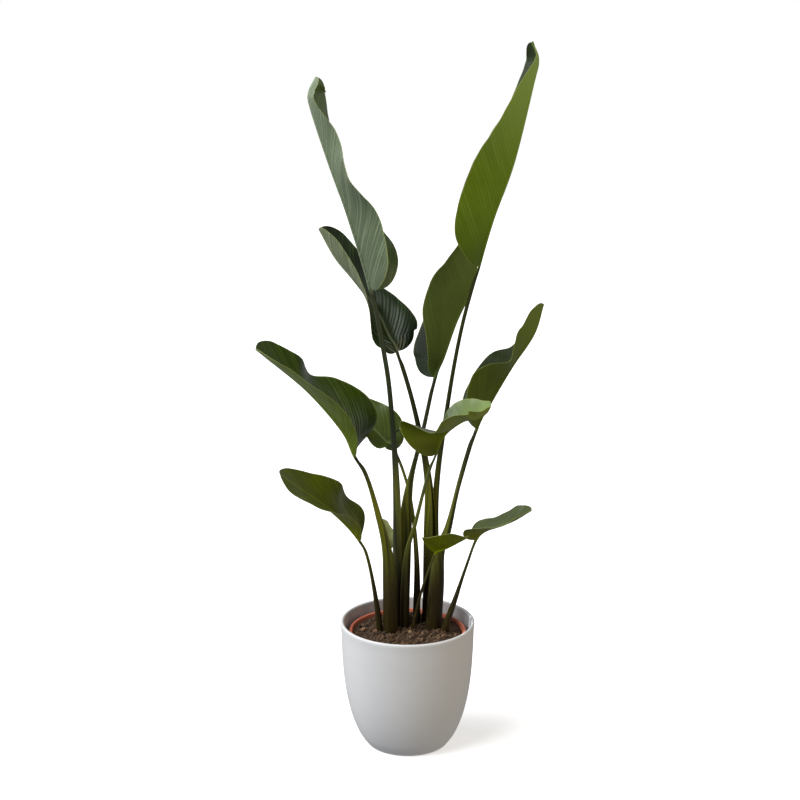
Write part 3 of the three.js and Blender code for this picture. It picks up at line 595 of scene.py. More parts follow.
def leaf_mesh(leaf, look, settings):
    """Rows of points from the root end to the tip: the under face's columns, then the top's."""
    route = leaf["route"]
    columns = settings.columns
    split = leaf["blade_from"] / (len(route) - 1)
    t, s, length = even_steps(route, split, 1, settings.ring_gap / MM, END_STEPS)
    axes = axes_at(route, t, keyed(leaf["heading"], s))

    def two_halves(axes, s):
        return {side: blade_half(leaf, look, axes, s, length, side, columns, settings) for side in (-1, 1)}

    def both(key, halves):
        return np.concatenate([halves[-1][key][:, :0:-1], halves[1][key]], axis=1)

    blade = two_halves(axes, s)
    t0, u, stalk_length = even_steps(route, 0, split, settings.stalk_gap / MM)
    t0, u = t0[:-1], u[:-1]
    axes0 = axes_at(route, t0, np.full_like(t0, leaf["heading"][0]))
    under0, top0, arc = stalk_rows(leaf, axes0, u, columns)
    start = two_halves(axes0, np.zeros_like(u))
    to_base = (1 - u) * stalk_length
    share = (1 - smoothstep(0, BASE_BLEND, to_base))[:, None, None]
    for faces, key in ((under0, "under"), (top0, "top")):
        faces += (both(key, start) - faces) * share
    rows = len(u) + len(s)
    wide = 2 * columns + 1
    points = np.concatenate([
        np.concatenate([under0, top0], axis=1),
        np.concatenate([both("under", blade), both("top", blade)], axis=1),
    ]).reshape(-1, 3)
    blank = np.zeros((len(u), wide))
    stalk_reach = np.broadcast_to(np.linspace(-1, 1, wide), (len(u), wide))

    def values(low, high):
        return np.concatenate([np.tile(low, (1, 2)), np.tile(high, (1, 2))]).ravel()

    numbers = {
        "vein_mm": values(blank, both("vein", blade)),
        "reach": values(stalk_reach, both("reach", blade)),
        "out_mm": values(arc, both("out", blade)),
        "run": values(blank - 1 + u[:, None], blank[:1] + s[:, None]),
        "length_mm": values(blank - to_base[:, None], blank[:1] + (s * length)[:, None]),
        "topside": np.tile(np.repeat([0.0, 1.0], wide), rows),
    }
    under = np.arange(rows)[:, None] * 2 * wide + np.arange(wide)[None, :]
    top = under + wide

    def cells(grid):
        return grid[:-1, :-1], grid[:-1, 1:], grid[1:, 1:], grid[1:, :-1]

    a, b, c, d = cells(top)
    sheets = [
        cells(under), (a, d, c, b),
        (under[:-1, 0], under[1:, 0], top[1:, 0], top[:-1, 0]),
        (under[:-1, -1], top[:-1, -1], top[1:, -1], under[1:, -1]),
        (under[0, :-1], top[0, :-1], top[0, 1:], under[0, 1:]),
        (under[-1, :-1], under[-1, 1:], top[-1, 1:], top[-1, :-1]),
    ]
    faces = [np.stack(sheet, -1).reshape(-1, 4) for sheet in sheets]
    return points, np.concatenate(faces).tolist(), numbers


# How each leaf looks: its slot, how deep its pleats are in millimetres, the colours of its top
# face and its underside, how strong its veins show, with painted shade and painted highlights
# along the pleats, and how rough its faces are.
# What differs from PLAIN_LOOK follows: the stalk's colour, how pale the underside's streaks are
# and how much lighter the top face is painted in its highlights and its painted light, its
# painted sheen, the painted shade on the base, the painted light towards the tip, where that
# begins and ends as shares of the blade, and its coat and shine.
STALK_GREEN = (0.03, 0.036, 0.009)
PLAIN_LOOK = {
    "stalk": STALK_GREEN, "pale": 0.0, "streaks": 1.8, "sheen": 0.0, "base_shade": 0.3,
    "tip_light": 0.0, "light_from": 0.35, "light_to": 0.95, "coat": 0.35, "shine": 0.15,
}


def look_row(slot, pleat, top, under, veins, gloss, **others):
    return {**PLAIN_LOOK, "slot": slot, "pleat": pleat, "top": top, "under": under,
            "veins": veins, "gloss": gloss, **others}


LOOKS = {
    "leaf_tall_left": look_row(
        "leaf_grey_green", 0.3, (0.085, 0.14, 0.03), (0.112, 0.148, 0.075), 0.8, 0.34,
        stalk=(0.026, 0.036, 0.01), pale=0.5, shine=0.45, tip_light=0.2, base_shade=0.4),
    "leaf_upper_left": look_row(
        "leaf_grey_green", 0.5, (0.02, 0.036, 0.009), (0.15, 0.17, 0.095), 0.7, 0.3,
        pale=0.45, streaks=3.0, sheen=0.75),
    "leaf_tall_right": look_row(
        "leaf_young_green", 0.15, (0.02, 0.03, 0.008), (0.15, 0.25, 0.001), 0.4, 0.42,
        stalk=(0.04, 0.044, 0.01), pale=0.22, streaks=1.2, tip_light=1.0, base_shade=1.0, coat=0.05),
    "leaf_upper_right": look_row(
        "leaf_green", 0.18, (0.012, 0.024, 0.004), (0.105, 0.155, 0.026), 0.4, 0.5,
        coat=0.05, tip_light=0.3),
    "leaf_middle_left": look_row(
        "leaf_dark_green", 0.3, (0.034, 0.06, 0.003), (0.15, 0.205, 0.026), 0.55, 0.32,
        streaks=3.0, base_shade=0.0, sheen=0.3),
    "leaf_low_left": look_row(
        "leaf_dark_green", 0.2, (0.07, 0.09, 0.001), (0.15, 0.17, 0.002), 0.5, 0.42,
        coat=0.15, streaks=2.2, base_shade=0.0, sheen=0.2),
    "leaf_centre": look_row(
        "leaf_young_green", 0.15, (0.05, 0.068, 0.022), (0.115, 0.145, 0.0005), 0.15, 0.34,
        stalk=(0.09, 0.11, 0.03), streaks=4.0, light_from=0.2, light_to=0.85, tip_light=1.0,
        base_shade=0.8),
    "leaf_middle_right": look_row(
        "leaf_green", 0.15, (0.035, 0.05, 0.014), (0.08, 0.11, 0.003), 0.3, 0.4,
        tip_light=1.0, pale=0.06, base_shade=0.0),
    "leaf_back_left": look_row(
        "leaf_green", 0.3, (0.055, 0.08, 0.01), (0.06, 0.085, 0.006), 0.7, 0.34, pale=0.3),
    "leaf_low_right": look_row(
        "leaf_green", 0.15, (0.085, 0.11, 0.035), (0.14, 0.16, 0.002), 0.35, 0.3,
        stalk=(0.06, 0.07, 0.02), pale=0.2, base_shade=0.0),
    "leaf_small_front": look_row(
        "leaf_green", 0.12, (0.09, 0.12, 0.015), (0.16, 0.195, 0.001), 0.3, 0.36,
        stalk=(0.08, 0.09, 0.03), base_shade=0.5),
    "leaf_small_back": look_row(
        "leaf_young_green", 0.14, (0.55, 0.6, 0.24), (0.55, 0.6, 0.24), 0.3, 0.4, base_shade=0.0),
}
VEIN_PALE = (0.42, 0.5, 0.3)
MARGIN_PALE = (0.3, 0.34, 0.09)
SHEATH_DARK = (0.019, 0.013, 0.002)
SHEATH_OLIVE = (0.16, 0.165, 0.008)
SHEATH_EDGE = (0.18, 0.19, 0.025)
# Colour of the painted sheen, a reflection painted on the top face
PAINTED_SHEEN = (0.3, 0.34, 0.28)


def times(colour, factor):
    return tuple(min(1.0, factor * c) for c in colour)


def leaf_finish(name, look, settings):
    """Waxy leaf: veined and mottled, paler under, with a pale margin and a fibrous stalk, painted shade in
    the pleats and on the base, painted highlights and a painted sheen on the top face, and painted light
    towards the tip.
    """
    mat = Finish(name)
    vein, reach, out = mat.value("vein_mm"), abs(mat.value("reach")), mat.value("out_mm")
    run, length, top = mat.value("run"), mat.value("length_mm"), mat.value("topside")
    place = mat.place()
    gap = settings.vein_gap / MM
    pleats = (vein * (2 * math.pi / gap)).sine()
    fine = (vein * (2 * math.pi / (gap * 0.23))).sine()
    streak = mat.noise(mat.vector(vein * 0.16, out * 0.006), 1.0, 4.0, 0.65)
    hairs = mat.noise(mat.vector(vein * 3.0, out * 0.04), 1.0, 2.0, 0.6)
    clouds = mat.noise(place, 14.0, 3.0, 0.55)
    specks = mat.noise(place, 420.0, 2.0, 0.5)
    blade = run.smooth(-0.02, 0.01)
    veins = look["veins"]

    under, upper, pale = look["under"], look["top"], look["pale"]
    bright_under = [1.5 * (1 - pale) * u + pale * v for u, v in zip(under, VEIN_PALE)]
    face = mat.mix(top, under, upper)
    # A darker copy of the colours: for the random mottle and hairs, and for painted shade in the pleats and
    # on the base
    dark_and_shaded = mat.mix(top, times(under, 0.5), times(upper, 0.55))
    # A lighter copy: the paler underside, and on the top face a lit copy for painted highlights and painted
    # light
    pale_and_lit = mat.mix(top, bright_under, times(upper, look["streaks"]))
    face = mat.mix(clouds.smooth(0.35, 0.75) * 0.45, face, dark_and_shaded)
    # Painted shade on one side of each pleat, as if in its trough
    face = mat.mix((0.5 - pleats * 0.5) * veins * 0.22, face, dark_and_shaded)
    # Pale streaks on the underside; on the top face these streaks are painted highlights along the pleats
    streak_and_highlight = (pleats * 0.06 + streak).smooth(0.46, 0.72)
    face = mat.mix(streak_and_highlight * veins, face, pale_and_lit)
    # Painted sheen: a reflection painted in streaks on the top face, between the midrib and the margin,
    # over the lower part of the blade
    painted_sheen_share = (pleats * 0.1 + streak).smooth(0.36, 0.66) * top * reach.smooth(0.12, 0.3)
    painted_sheen_share = painted_sheen_share * (1 - reach.smooth(0.5, 0.85)) * (1 - run.smooth(0.3, 0.5))
    face = mat.mix(painted_sheen_share * (0.3 + clouds.smooth(0.4, 0.6)) * look["sheen"], face, PAINTED_SHEEN)
    face = mat.mix(hairs.smooth(0.35, 0.7) * 0.25, face, dark_and_shaded)
    # Painted shade over the blade's base, fading out by a third of its length
    face = mat.mix((1 - run.smooth(0.0, 0.3)) * look["base_shade"], face, dark_and_shaded)
    # Painted light towards the tip, from light_from to light_to along the blade
    painted_light_share = run.smooth(look["light_from"], look["light_to"])
    face = mat.mix(painted_light_share * look["tip_light"], face, pale_and_lit)
    rib = 1 - abs(out).smooth(0.8, 3.4)
    face = mat.mix(rib * 0.4, face, bright_under)
    face = mat.mix(reach.smooth(0.968, 0.992) * 0.6, face, MARGIN_PALE)

    fibres = mat.noise(mat.vector(out * 0.8, length * 0.012), 1.0, 4.0, 0.65)
    bands = mat.noise(mat.vector(out * 0.16, length * 0.004), 1.0, 2.0, 0.5)
    height = mat.height()
    green = look["stalk"]
    stalk = mat.mix(fibres.smooth(0.3, 0.72), times(green, 0.5), times(green, 1.5))
    sheath = 1 - height.smooth(0.4, 0.5)
    olive = bands.smooth(0.4, 0.62) * sheath * height.smooth(0.24, 0.36)
    edge = reach.smooth(0.5, 0.95) * 0.7 * sheath * height.smooth(0.21, 0.3)
    brown = 1 - height.smooth(0.24, 0.41)
    brown = brown * (0.62 + (0.5 - bands) * 0.9 + (0.5 - fibres)).smooth(0.1, 0.55)
    stalk = mat.mix(olive, stalk, SHEATH_OLIVE)
    stalk = mat.mix(edge, stalk, SHEATH_EDGE)
    stalk = mat.mix(brown, stalk, SHEATH_DARK)
    colour = mat.mix(blade, stalk, face)

    relief = pleats * 0.12 + fine * 0.1 + streak * 1.2 + hairs * 0.3 + specks * 0.12
    relief = relief * blade + fibres * (1 - blade)
    rough = look["gloss"] + (specks - 0.5) * 0.12 + (1 - top) * 0.1 + (clouds - 0.5) * 0.12
    return mat.close(
        colour, rough, mat.bump(relief, 0.0004, 0.8), Specular_IOR_Level=look["shine"],
        Coat_Weight=top * blade * look["coat"], Coat_Roughness=0.16)


def around(radius, k, count):
    """Place k of count on a circle."""
    angle = 2 * math.pi * k / count
    return radius * math.cos(angle), radius * math.sin(angle)


def turned_mesh(profile, sides):
    """Points and faces of a closed profile turned about the vertical axis."""
    rows = []
    points = []
    for radius, height in profile:
        if radius < 1e-6:
            rows.append([len(points)] * sides)
            points.append((0.0, 0.0, height))
            continue
        rows.append(list(range(len(points), len(points) + sides)))
        points += [(*around(radius, k, sides), height) for k in range(sides)]
    faces = []
    for lower, upper in zip(rows, rows[1:]):
        for k in range(sides):
            n = (k + 1) % sides
            ring = [lower[k], lower[n], upper[n], upper[k]]
            face = [p for i, p in enumerate(ring) if p not in ring[:i]]
            if len(face) > 2:
                faces.append(face)
    return points, faces


def cover_profile():
    """The cover pot's section: foot, smooth belly, beaded rim, inner wall and floor."""
    belly = np.array([(COVER_FOOT_RADIUS + COVER_FOOT_ROUNDING, COVER_FOOT_ROUNDING)]
                     + [(r * COVER_RIM_RADIUS, z * COVER_HEIGHT) for z, r in COVER_BELLY])
    wall = on_route(belly, np.linspace(0, 1, COVER_BELLY_ROWS))
    wall[:, 0] = np.minimum(wall[:, 0], COVER_RIM_RADIUS)
    outside = []
    for i in range(COVER_FOOT_ROWS):
        angle = math.radians(-90 + COVER_FOOT_DEGREES * i / (COVER_FOOT_ROWS - 1))
        outside.append((COVER_FOOT_RADIUS + COVER_FOOT_ROUNDING * math.cos(angle),
                        COVER_FOOT_ROUNDING * (1 + math.sin(angle))))
    begin, full, fade, end = (COVER_BEAD_DROP + shift for shift in COVER_BEAD_HOLLOW)
    for radius, height in wall[1:]:
        below = COVER_HEIGHT - height
        dip = COVER_BEAD * smoothstep(begin, full, below)
        dip *= 1 - smoothstep(fade, end, below)
        outside.append((radius - float(dip), height))
    lip = COVER_WALL / 2
    rim = []
    for i in range(1, COVER_RIM_ROWS):
        angle = math.pi * i / COVER_RIM_ROWS
        rim.append((COVER_RIM_RADIUS - lip + lip * math.cos(angle),
                    COVER_HEIGHT - lip + lip * math.sin(angle)))
    inside = [(r - COVER_WALL, z) for r, z in wall[::-1] if 1.5 * COVER_FLOOR < z < COVER_HEIGHT - lip]
    floor_radius = inside[-1][0] - COVER_FLOOR
    corner = [(floor_radius + COVER_FLOOR * 0.5, COVER_FLOOR * 1.13), (floor_radius, COVER_FLOOR)]
    return [(0, 0), *outside, *rim, *inside, *corner, (0, COVER_FLOOR)]


def glaze_finish(settings):
    """Satin white glaze with faint pooling, pinholes and a bare foot ring."""
    mat = Finish("satin_white_glaze")
    place = mat.place()
    height = mat.height()
    clouds = mat.noise(place, 9.0, 3.0, 0.5)
    orange_peel = mat.noise(place, 260.0, 2.0, 0.5)
    pins = mat.noise(place, 700.0, 1.0, 0.5).smooth(0.74, 0.8)
    white = tuple(settings.glaze)
    colour = mat.mix((clouds - 0.3) * 0.9, white, times(white, 0.93))
    colour = mat.mix(pins * 0.35, colour, (0.35, 0.32, 0.28))
    bare = 1 - height.smooth(0.0006, 0.0022)
    colour = mat.mix(bare * 0.8, colour, (0.55, 0.46, 0.38))
    rough = settings.glaze_roughness + (clouds - 0.5) * 0.12 + bare * 0.4
    bump = mat.bump(orange_peel * 0.6 + clouds * 2.0 - pins * 1.5, 0.0003, 0.35)
    return mat.close(colour, rough, bump, Specular_IOR_Level=0.5)


def terracotta_finish(settings):
    """Thin moulded plastic in terracotta, scuffed at the lip and darker in patches below it."""
    mat = Finish("terracotta_plastic")
    place = mat.place()
    height = mat.height()
    grain = mat.noise(place, 900.0, 2.0, 0.5)
    scuffs = mat.noise(place, 60.0, 4.0, 0.7)
    body = tuple(settings.terracotta)
    colour = mat.mix(scuffs.smooth(0.4, 0.75) * 0.5, body, times(body, 1.35))
    # Darker in patches below the lip
    darker_patches = (1 - height.smooth(0.187, 0.194)) * scuffs.smooth(0.35, 0.6)
    colour = mat.mix(darker_patches * 0.7, colour, (0.06, 0.035, 0.022))
    return mat.close(colour, 0.5 + (scuffs - 0.5) * 0.25, mat.bump(grain + scuffs, 0.0002, 0.5))


def nursery_radius(height):
    """Outer radius of the nursery pot's straight side."""
    foot = COVER_FLOOR + CLEARANCE
    rim = COVER_HEIGHT - NURSERY_BELOW_COVER_RIM
    top = NURSERY_RIM_RADIUS - NURSERY_LIP_WIDTH + NURSERY_WALL
    return NURSERY_FOOT_RADIUS + (top - NURSERY_FOOT_RADIUS) * (height - foot) / (rim - foot)


def nursery_profile(lip_width):
    """The nursery pot's section, with a turned lip and rounded edges."""
    foot = COVER_FLOOR + CLEARANCE
    rim = COVER_HEIGHT - NURSERY_BELOW_COVER_RIM
    under_lip = rim - NURSERY_LIP_HEIGHT
    edge = NURSERY_EDGE
    inner_top = nursery_radius(rim) - NURSERY_WALL
    return [
        (0, foot), (nursery_radius(foot) - edge, foot), (nursery_radius(foot) + 0.1, foot + edge),
        (nursery_radius(under_lip), under_lip),
        (NURSERY_RIM_RADIUS - edge, under_lip),
        (NURSERY_RIM_RADIUS, under_lip + edge),
        (NURSERY_RIM_RADIUS, rim - edge), (NURSERY_RIM_RADIUS - 0.3 * edge, rim - 0.3 * edge),
        (NURSERY_RIM_RADIUS - edge, rim),
        (inner_top + edge, rim), (inner_top + 0.3 * edge, rim - 0.3 * edge), (inner_top, rim - edge),
        (nursery_radius(foot + NURSERY_WALL) - NURSERY_WALL, foot + NURSERY_WALL),
        (0, foot + NURSERY_WALL),
    ]


def cut_drains(pot):
    """Cuts the drain holes through the pot's floor."""
    floor = COVER_FLOOR + CLEARANCE
    low, high = DRAIN_CUT
    for i in range(DRAIN_COUNT):
        points, faces = turned_mesh(
            [(0, low), (DRAIN_RADIUS, low), (DRAIN_RADIUS, high), (0, high)], DRAIN_SIDES)
        shift = (*around(DRAIN_CIRCLE, i, DRAIN_COUNT), floor)
        cutter = add_mesh("drain", np.array(points) + shift, faces, pot.data.materials[0])
        cut = pot.modifiers.new("drain", "BOOLEAN")
        cut.operation = "DIFFERENCE"
        cut.object = cutter
        graph = bpy.context.evaluated_depsgraph_get()
        result = bpy.data.meshes.new_from_object(pot.evaluated_get(graph))
        pot.modifiers.clear()
        pot.data = result
        bpy.data.objects.remove(cutter)


# Crumbs on the soil: how fine their noise is per millimetre, and their height in millimetres
CRUMBS = ((0.16, 2.6), (0.4, 2.2), (1.1, 1.0))


def soil_height(x, y, edge):
    """The heap's height as in the part's source, with its fine lumps."""
    out = math.hypot(x, y) / edge
    broad = math.sin(0.31 * x + 0.12 * y) * math.cos(0.27 * y - 0.08 * x)
    lumps = broad + 0.6 * math.sin(0.53 * x - 0.4 * y + 1)
    base = SOIL_LEVEL + SOIL_HEAP * (1 - out * out) + SOIL_LUMP * lumps * (1 - 0.6 * out ** 4)
    spot = Vector((x, y, 3.0))
    return base + sum(noise.noise(spot * fine) * tall for fine, tall in CRUMBS)


def soil_edge(height):
    return nursery_radius(height) - NURSERY_WALL - CLEARANCE


def soil_mesh():
    """Crumbly top over a plain root ball, as one closed skin."""
    edge = soil_edge(SOIL_LEVEL - 2 * SOIL_LUMP)
    rings = int(edge / SOIL_STEP)
    spokes = SOIL_SPOKES
    foot = COVER_FLOOR + NURSERY_WALL + 2 * CLEARANCE
    points = [(0.0, 0.0, soil_height(0, 0, edge))]
    for ring in range(1, rings + 1):
        for k in range(spokes):
            x, y = (share * ring / rings for share in around(edge, k, spokes))
            points.append((x, y, soil_height(x, y, edge)))
    points += [(*around(soil_edge(foot), k, spokes), foot) for k in range(spokes)]
    points.append((0.0, 0.0, foot))
    faces = []
    for k in range(spokes):
        n = (k + 1) % spokes
        faces.append([0, 1 + k, 1 + n])
        for ring in range(rings):
            a, b = 1 + ring * spokes + k, 1 + ring * spokes + n
            faces.append([a, a + spokes, b + spokes, b])
        low = 1 + rings * spokes
        faces.append([len(points) - 1, low + n, low + k])
    return points, faces


def soil_finish(settings):
    """Moist bark with dry coir in patches."""
    mat = Finish("potting_bark")
    place = mat.place()
    lumps = mat.noise(place, 90.0, 5.0, 0.65)
    crumbs = mat.noise(place, 420.0, 4.0, 0.7)
    bark = tuple(settings.bark)
    colour = mat.mix(lumps.smooth(0.3, 0.75), times(bark, 0.35), bark)
    colour = mat.mix(crumbs.smooth(0.55, 0.8) * 0.7, colour, tuple(settings.dry_coir))
    return mat.close(colour, 0.85 + (crumbs - 0.5) * 0.3, mat.bump(lumps + crumbs, 0.0012, 0.9))


def chip_finish(settings):
    """Bark chips from near black to dry tan, each with its own shade."""
    mat = Finish("bark_chips")
    place = mat.place()
    shade = mat.value("shade")
    grain = mat.noise(place, 700.0, 4.0, 0.7)
    dry = tuple(settings.dry_coir)
    colour = mat.ramp(shade, [
        (0.0, (0.012, 0.008, 0.005)), (0.45, tuple(settings.bark)),
        (0.8, (0.12, 0.055, 0.025)), (0.97, dry),
    ])
    colour = mat.mix(grain.smooth(0.45, 0.75) * 0.45, colour, dry)
    return mat.close(colour, 0.8 + (grain - 0.5) * 0.3, mat.bump(grain, 0.0006, 0.8))


CHIP_POINTS = [(x, y, z) for z in (-1, 1) for x, y in ((-1, -1), (1, -1), (1, 1), (-1, 1))]
CHIP_FACES = [(0, 3, 2, 1), (4, 5, 6, 7), (0, 1, 5, 4), (1, 2, 6, 5), (2, 3, 7, 6), (3, 0, 4, 7)]


def stalk_feet():
    """Where each stalk leaves the soil: its centre and its radius there."""
    feet = []
    for leaf in LEAVES:
        t, u, _ = even_steps(leaf["route"], 0, leaf["blade_from"] / (len(leaf["route"]) - 1), 5)
        points = on_route(leaf["route"], t)
        i = int(np.argmin(np.abs(points[:, 2] - SOIL_LEVEL - SOIL_HEAP / 2)))
        feet.append((points[i, 0], points[i, 1], float(keyed(leaf["stalk_radius"], [u[i]])[0])))
    return feet


def free_spot(rng, edge, feet, room):
    """A random spot on the soil that keeps room from the rim and the stalks."""
    while True:
        x, y = rng.uniform(-edge, edge), rng.uniform(-edge, edge)
        if math.hypot(x, y) > edge - room:
            continue
        if all(math.hypot(x - fx, y - fy) > radius + 0.4 * room for fx, fy, radius in feet):
            return x, y


def chips_mesh(count, size, feet):
    """Angular chips with worn corners, sunk at random into the soil's top."""
    rng = random.Random(CHIP_SEED)
    edge = soil_edge(SOIL_LEVEL)
    points, faces, shades = [], [], []
    for _ in range(count):
        reach = 0.5 * size * rng.uniform(*CHIP_LENGTH)
        x, y = free_spot(rng, edge, feet, reach)
        spread = (reach, reach * rng.uniform(*CHIP_WIDTH), reach * rng.uniform(*CHIP_HEIGHT))
        lean = (rng.uniform(*CHIP_TILT), rng.uniform(*CHIP_TILT))
        tilt = Euler((*lean, rng.uniform(0, 2 * math.pi))).to_matrix()
        centre = Vector((x, y, soil_height(x, y, edge) + spread[2] * rng.uniform(*CHIP_SINK)))
        first = len(points)
        shade = rng.random() ** CHIP_DARKNESS
        for corner in CHIP_POINTS:
            worn = rng.uniform(*CHIP_WEAR)
            local = Vector([c * s * worn for c, s in zip(corner, spread)])
            points.append(tuple(centre + tilt @ local))
            shades.append(shade)
        faces += [[first + i for i in face] for face in CHIP_FACES]
    return points, faces, shades


def strands_mesh(count, feet):
    """Short bent strands of coir, three-sided, lying on the crumbs."""
    rng = random.Random(STRAND_SEED)
    edge = soil_edge(SOIL_LEVEL)
    points, faces, shades = [], [], []
    for _ in range(count):
        length = rng.uniform(*STRAND_LENGTH)
        x, y = free_spot(rng, edge, feet, STRAND_ROOM)
        heading = rng.uniform(0, 2 * math.pi)
        bend = rng.uniform(*STRAND_BEND)
        radius = rng.uniform(*STRAND_RADIUS)
        shade = rng.uniform(*STRAND_SHADE)
        first = len(points)
        inside = True
        for i in range(STRAND_STEPS + 1):
            if math.hypot(x, y) > edge - 1:
                inside = False
            arch = STRAND_ARCH * math.sin(math.pi * i / STRAND_STEPS)
            height = soil_height(x, y, edge) + STRAND_LIFT + arch * rng.uniform(*STRAND_SWELL)
            for k in range(STRAND_SIDES):
                side, lift = around(radius, k, STRAND_SIDES)
                points.append((x - side * math.sin(heading), y + side * math.cos(heading), height + lift))
                shades.append(shade)
            heading += bend * length / STRAND_STEPS
            x += math.cos(heading) * length / STRAND_STEPS
            y += math.sin(heading) * length / STRAND_STEPS
        if not inside:
            del points[first:], shades[first:]
            continue
        for i in range(STRAND_STEPS):
            low = first + STRAND_SIDES * i
            for k in range(STRAND_SIDES):
                a, b = low + k, low + (k + 1) % STRAND_SIDES
                faces.append([a, b, b + STRAND_SIDES, a + STRAND_SIDES])
        end = first + STRAND_SIDES * STRAND_STEPS
        faces += [[first + 2, first + 1, first], [end, end + 1, end + 2]]
    return points, faces, shades


class PLANT_OT_cover_pot(bpy.types.Operator):
    """Build the round white cover pot"""
    bl_idname = "plant.cover_pot"
    bl_label = "Cover pot"

    def execute(self, context):
        points, faces = turned_mesh(cover_profile(), COVER_SIDES)
        finish = glaze_finish(context.scene.plant_pots)
        pot = add_mesh("glazed_cover_pot", points, faces, finish, sharp_angle=60)
        settle(pot, "cover_pot")
        return {"FINISHED"}


class PLANT_OT_nursery_pot(bpy.types.Operator):
    """Build the terracotta-coloured nursery pot"""
    bl_idname = "plant.nursery_pot"
    bl_label = "Nursery pot"

    def execute(self, context):
        settings = context.scene.plant_pots
        points, faces = turned_mesh(nursery_profile(settings.lip_width / MM), NURSERY_SIDES)
        pot = add_mesh("plastic_nursery_pot", points, faces, terracotta_finish(settings))
        cut_drains(pot)
        pot.data.polygons.foreach_set("use_smooth", [True] * len(pot.data.polygons))
        pot.data.set_sharp_from_angle(angle=math.radians(50))
        settle(pot, "nursery_pot")
        return {"FINISHED"}


class PLANT_OT_soil(bpy.types.Operator):
    """Build the soil with its bark chips and coir"""
    bl_idname = "plant.soil"
    bl_label = "Soil"

    def execute(self, context):
        settings = context.scene.plant_soil
        points, faces = soil_mesh()
        settle(add_mesh("potting_soil", points, faces, soil_finish(settings)), "soil")
        finish = chip_finish(settings)
        feet = stalk_feet()
        points, faces, shades = chips_mesh(settings.chips, settings.chip_size / MM, feet)
        chips = add_mesh("bark_chips", points, faces, finish, {"shade": shades}, sharp_angle=35)
        bevel = chips.modifiers.new("worn_edges", "BEVEL")
        bevel.width = 0.0005
        bevel.segments = 2
        points, faces, shades = strands_mesh(settings.strands, feet)
        strands = add_mesh("coir_strands", points, faces, finish, {"shade": shades})
        for thing in (chips, strands):
            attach(thing, BODY)
        return {"FINISHED"}


class PLANT_OT_leaves(bpy.types.Operator):
    """Build the twelve leaves"""
    bl_idname = "plant.leaves"
    bl_label = "Leaves"

    def execute(self, context):
        settings = context.scene.plant_leaves
        for leaf in LEAVES:
            look = LOOKS[leaf["name"]]
            points, faces, numbers = leaf_mesh(leaf, look, settings)
            name = "grown_" + leaf["name"]
            finish = leaf_finish(name, look, settings)
            thing = add_mesh(name, points, faces, finish, numbers, sharp_angle=60)
            settle(thing, leaf["name"])
        return {"FINISHED"}


def soft_light(name, power, size, place, aim, colour, spread):
    """A square soft light that looks at a point, with its spread in degrees."""
    lamp = bpy.data.lights.new(name, "AREA")
    lamp.energy = power
    lamp.size = size
    lamp.color = colour
    lamp.spread = math.radians(spread)
    thing = bpy.data.objects.new(name, lamp)
    thing.location = place
    thing.visible_camera = False
    thing.rotation_euler = (Vector(aim) - Vector(place)).to_track_quat("-Z", "Y").to_euler()
    bpy.context.scene.collection.objects.link(thing)


# Soft lamps, in metres: setting of its power, size, place, aim, colour and spread in degrees
CLUMP = (0, 0, 0.55)
LAMPS = {
    "window": ("key_power", 1.6, (-1.9, -1.35, 1.8), CLUMP, (0.85, 0.92, 1.0), 180),
    "lamp": ("fill_power", 1.2, (1.9, -1.4, 0.9), CLUMP, (1.0, 0.79, 0.48), 180),
    "rim": ("back_power", 1.5, (-2.2, 0.75, 1.45), CLUMP, (0.9, 0.95, 1.0), 180),
    "pot_light": ("pot_power", 0.1, (-0.55, -0.32, 0.62), (0.1, 0.01, 0.2), (0.85, 0.93, 1.0), 10),
}
OVERHEAD_TURN = (14, -36, 0)
OVERHEAD_SOFTNESS = 50
FLOOR_HALF = 6000


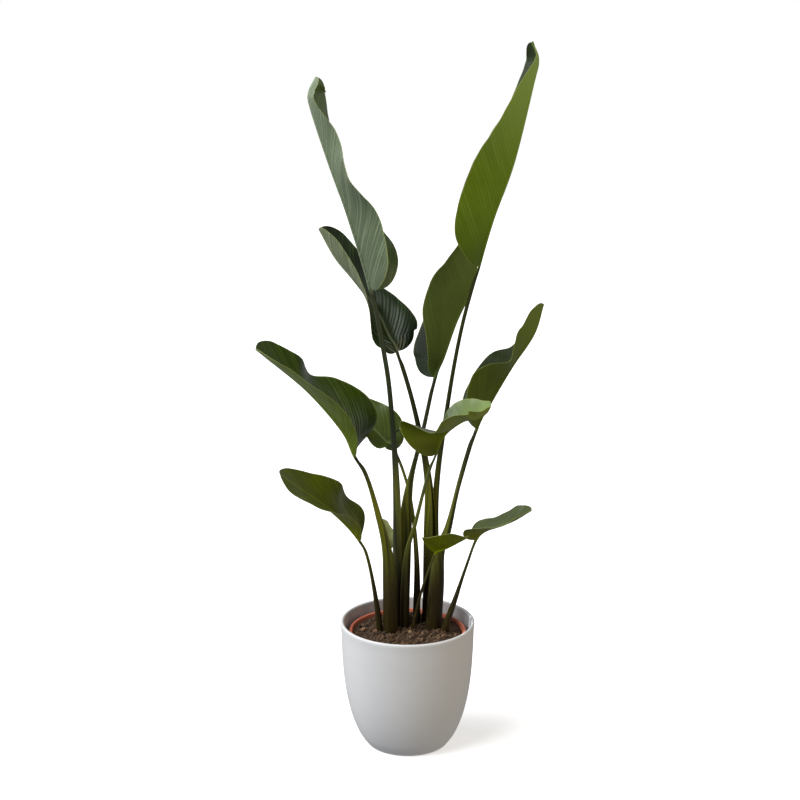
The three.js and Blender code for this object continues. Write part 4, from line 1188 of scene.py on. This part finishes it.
class PLANT_OT_stage(bpy.types.Operator):
    """Set up the floor, the soft lights and the camera"""
    bl_idname = "plant.stage"
    bl_label = "Stage"

    def execute(self, context):
        scene = context.scene
        settings = scene.plant_stage
        scene.view_settings.view_transform = "Standard"
        scene.view_settings.look = "None"
        self.lay_floor(settings)
        for name, (power, *others) in LAMPS.items():
            soft_light(name, getattr(settings, power), *others)
        overhead = bpy.data.lights.new("overhead", "SUN")
        overhead.energy = settings.overhead
        overhead.angle = math.radians(OVERHEAD_SOFTNESS)
        overhead_light = bpy.data.objects.new("overhead", overhead)
        overhead_light.rotation_euler = [math.radians(turn) for turn in OVERHEAD_TURN]
        scene.collection.objects.link(overhead_light)
        scene.world = self.studio_world(settings)
        lens = bpy.data.cameras.new("camera")
        lens.sensor_width = SENSOR
        lens.lens = SENSOR * FOCAL_PIXELS / FRAME_PIXELS
        camera = bpy.data.objects.new("camera", lens)
        side = -RIM_RIGHT_PIXELS / PIXELS_PER_MM * MM
        camera.location = (side, -settings.camera_distance, settings.camera_height)
        camera.rotation_euler = (math.pi / 2 - settings.camera_pitch, 0, 0)
        scene.collection.objects.link(camera)
        scene.camera = camera
        return {"FINISHED"}

    def lay_floor(self, settings):
        """A wide pale floor that throws no light back on the plant."""
        mat = Finish("pale_floor")
        grain = mat.noise(mat.place(), 40.0, 2.0, 0.5)
        shade = mat.mix(grain * 0.04, tuple(settings.floor), (0.8, 0.8, 0.8))
        finish = mat.close(
            shade, 0.9, Specular_IOR_Level=0.1, Emission_Color=(1, 1, 1), Emission_Strength=0.45)
        corners = [(x * FLOOR_HALF, y * FLOOR_HALF, 0) for x, y in ((-1, -1), (1, -1), (1, 1), (-1, 1))]
        floor = add_mesh("floor", corners, [[0, 1, 2, 3]], finish)
        floor.visible_diffuse = False
        floor.visible_glossy = False

    def studio_world(self, settings):
        """White behind the plant, and a dimmer even light on it."""
        world = bpy.data.worlds.new("studio")
        world.use_nodes = True
        tree = world.node_tree
        backdrop = tree.nodes["Background"]
        backdrop.inputs["Color"].default_value = (1, 1, 1, 1)
        ambient = tree.nodes.new("ShaderNodeBackground")
        ambient.inputs["Color"].default_value = (0.96, 0.97, 1, 1)
        ambient.inputs["Strength"].default_value = settings.ambient
        rays = tree.nodes.new("ShaderNodeLightPath")
        mixed = tree.nodes.new("ShaderNodeMixShader")
        tree.links.new(rays.outputs["Is Camera Ray"], mixed.inputs[0])
        tree.links.new(ambient.outputs[0], mixed.inputs[1])
        tree.links.new(backdrop.outputs[0], mixed.inputs[2])
        tree.links.new(mixed.outputs[0], tree.nodes["World Output"].inputs["Surface"])
        return world


class PLANT_PT_panel(bpy.types.Panel):
    """Lists the steps that build the plant"""
    bl_idname = "PLANT_PT_panel"
    bl_label = "Potted plant"
    bl_space_type = "VIEW_3D"
    bl_region_type = "UI"
    bl_category = "Plant"

    def draw(self, context):
        for operator in OPERATORS:
            self.layout.operator(operator.bl_idname)


OPERATORS = (PLANT_OT_cover_pot, PLANT_OT_nursery_pot, PLANT_OT_soil, PLANT_OT_leaves, PLANT_OT_stage)
SETTINGS = {
    "plant_pots": PotSettings,
    "plant_soil": SoilSettings,
    "plant_leaves": LeafSettings,
    "plant_stage": StageSettings,
}
CLASSES = (*SETTINGS.values(), *OPERATORS, PLANT_PT_panel)


def register():
    for kind in CLASSES:
        bpy.utils.register_class(kind)
    for name, group in SETTINGS.items():
        setattr(bpy.types.Scene, name, bpy.props.PointerProperty(type=group))


def unregister():
    for name in SETTINGS:
        delattr(bpy.types.Scene, name)
    for kind in reversed(CLASSES):
        bpy.utils.unregister_class(kind)


def main():
    register()
    bpy.ops.plant.stage()
    bpy.ops.plant.cover_pot()
    bpy.ops.plant.nursery_pot()
    bpy.ops.plant.soil()
    bpy.ops.plant.leaves()


if __name__ == "__main__":
    main()
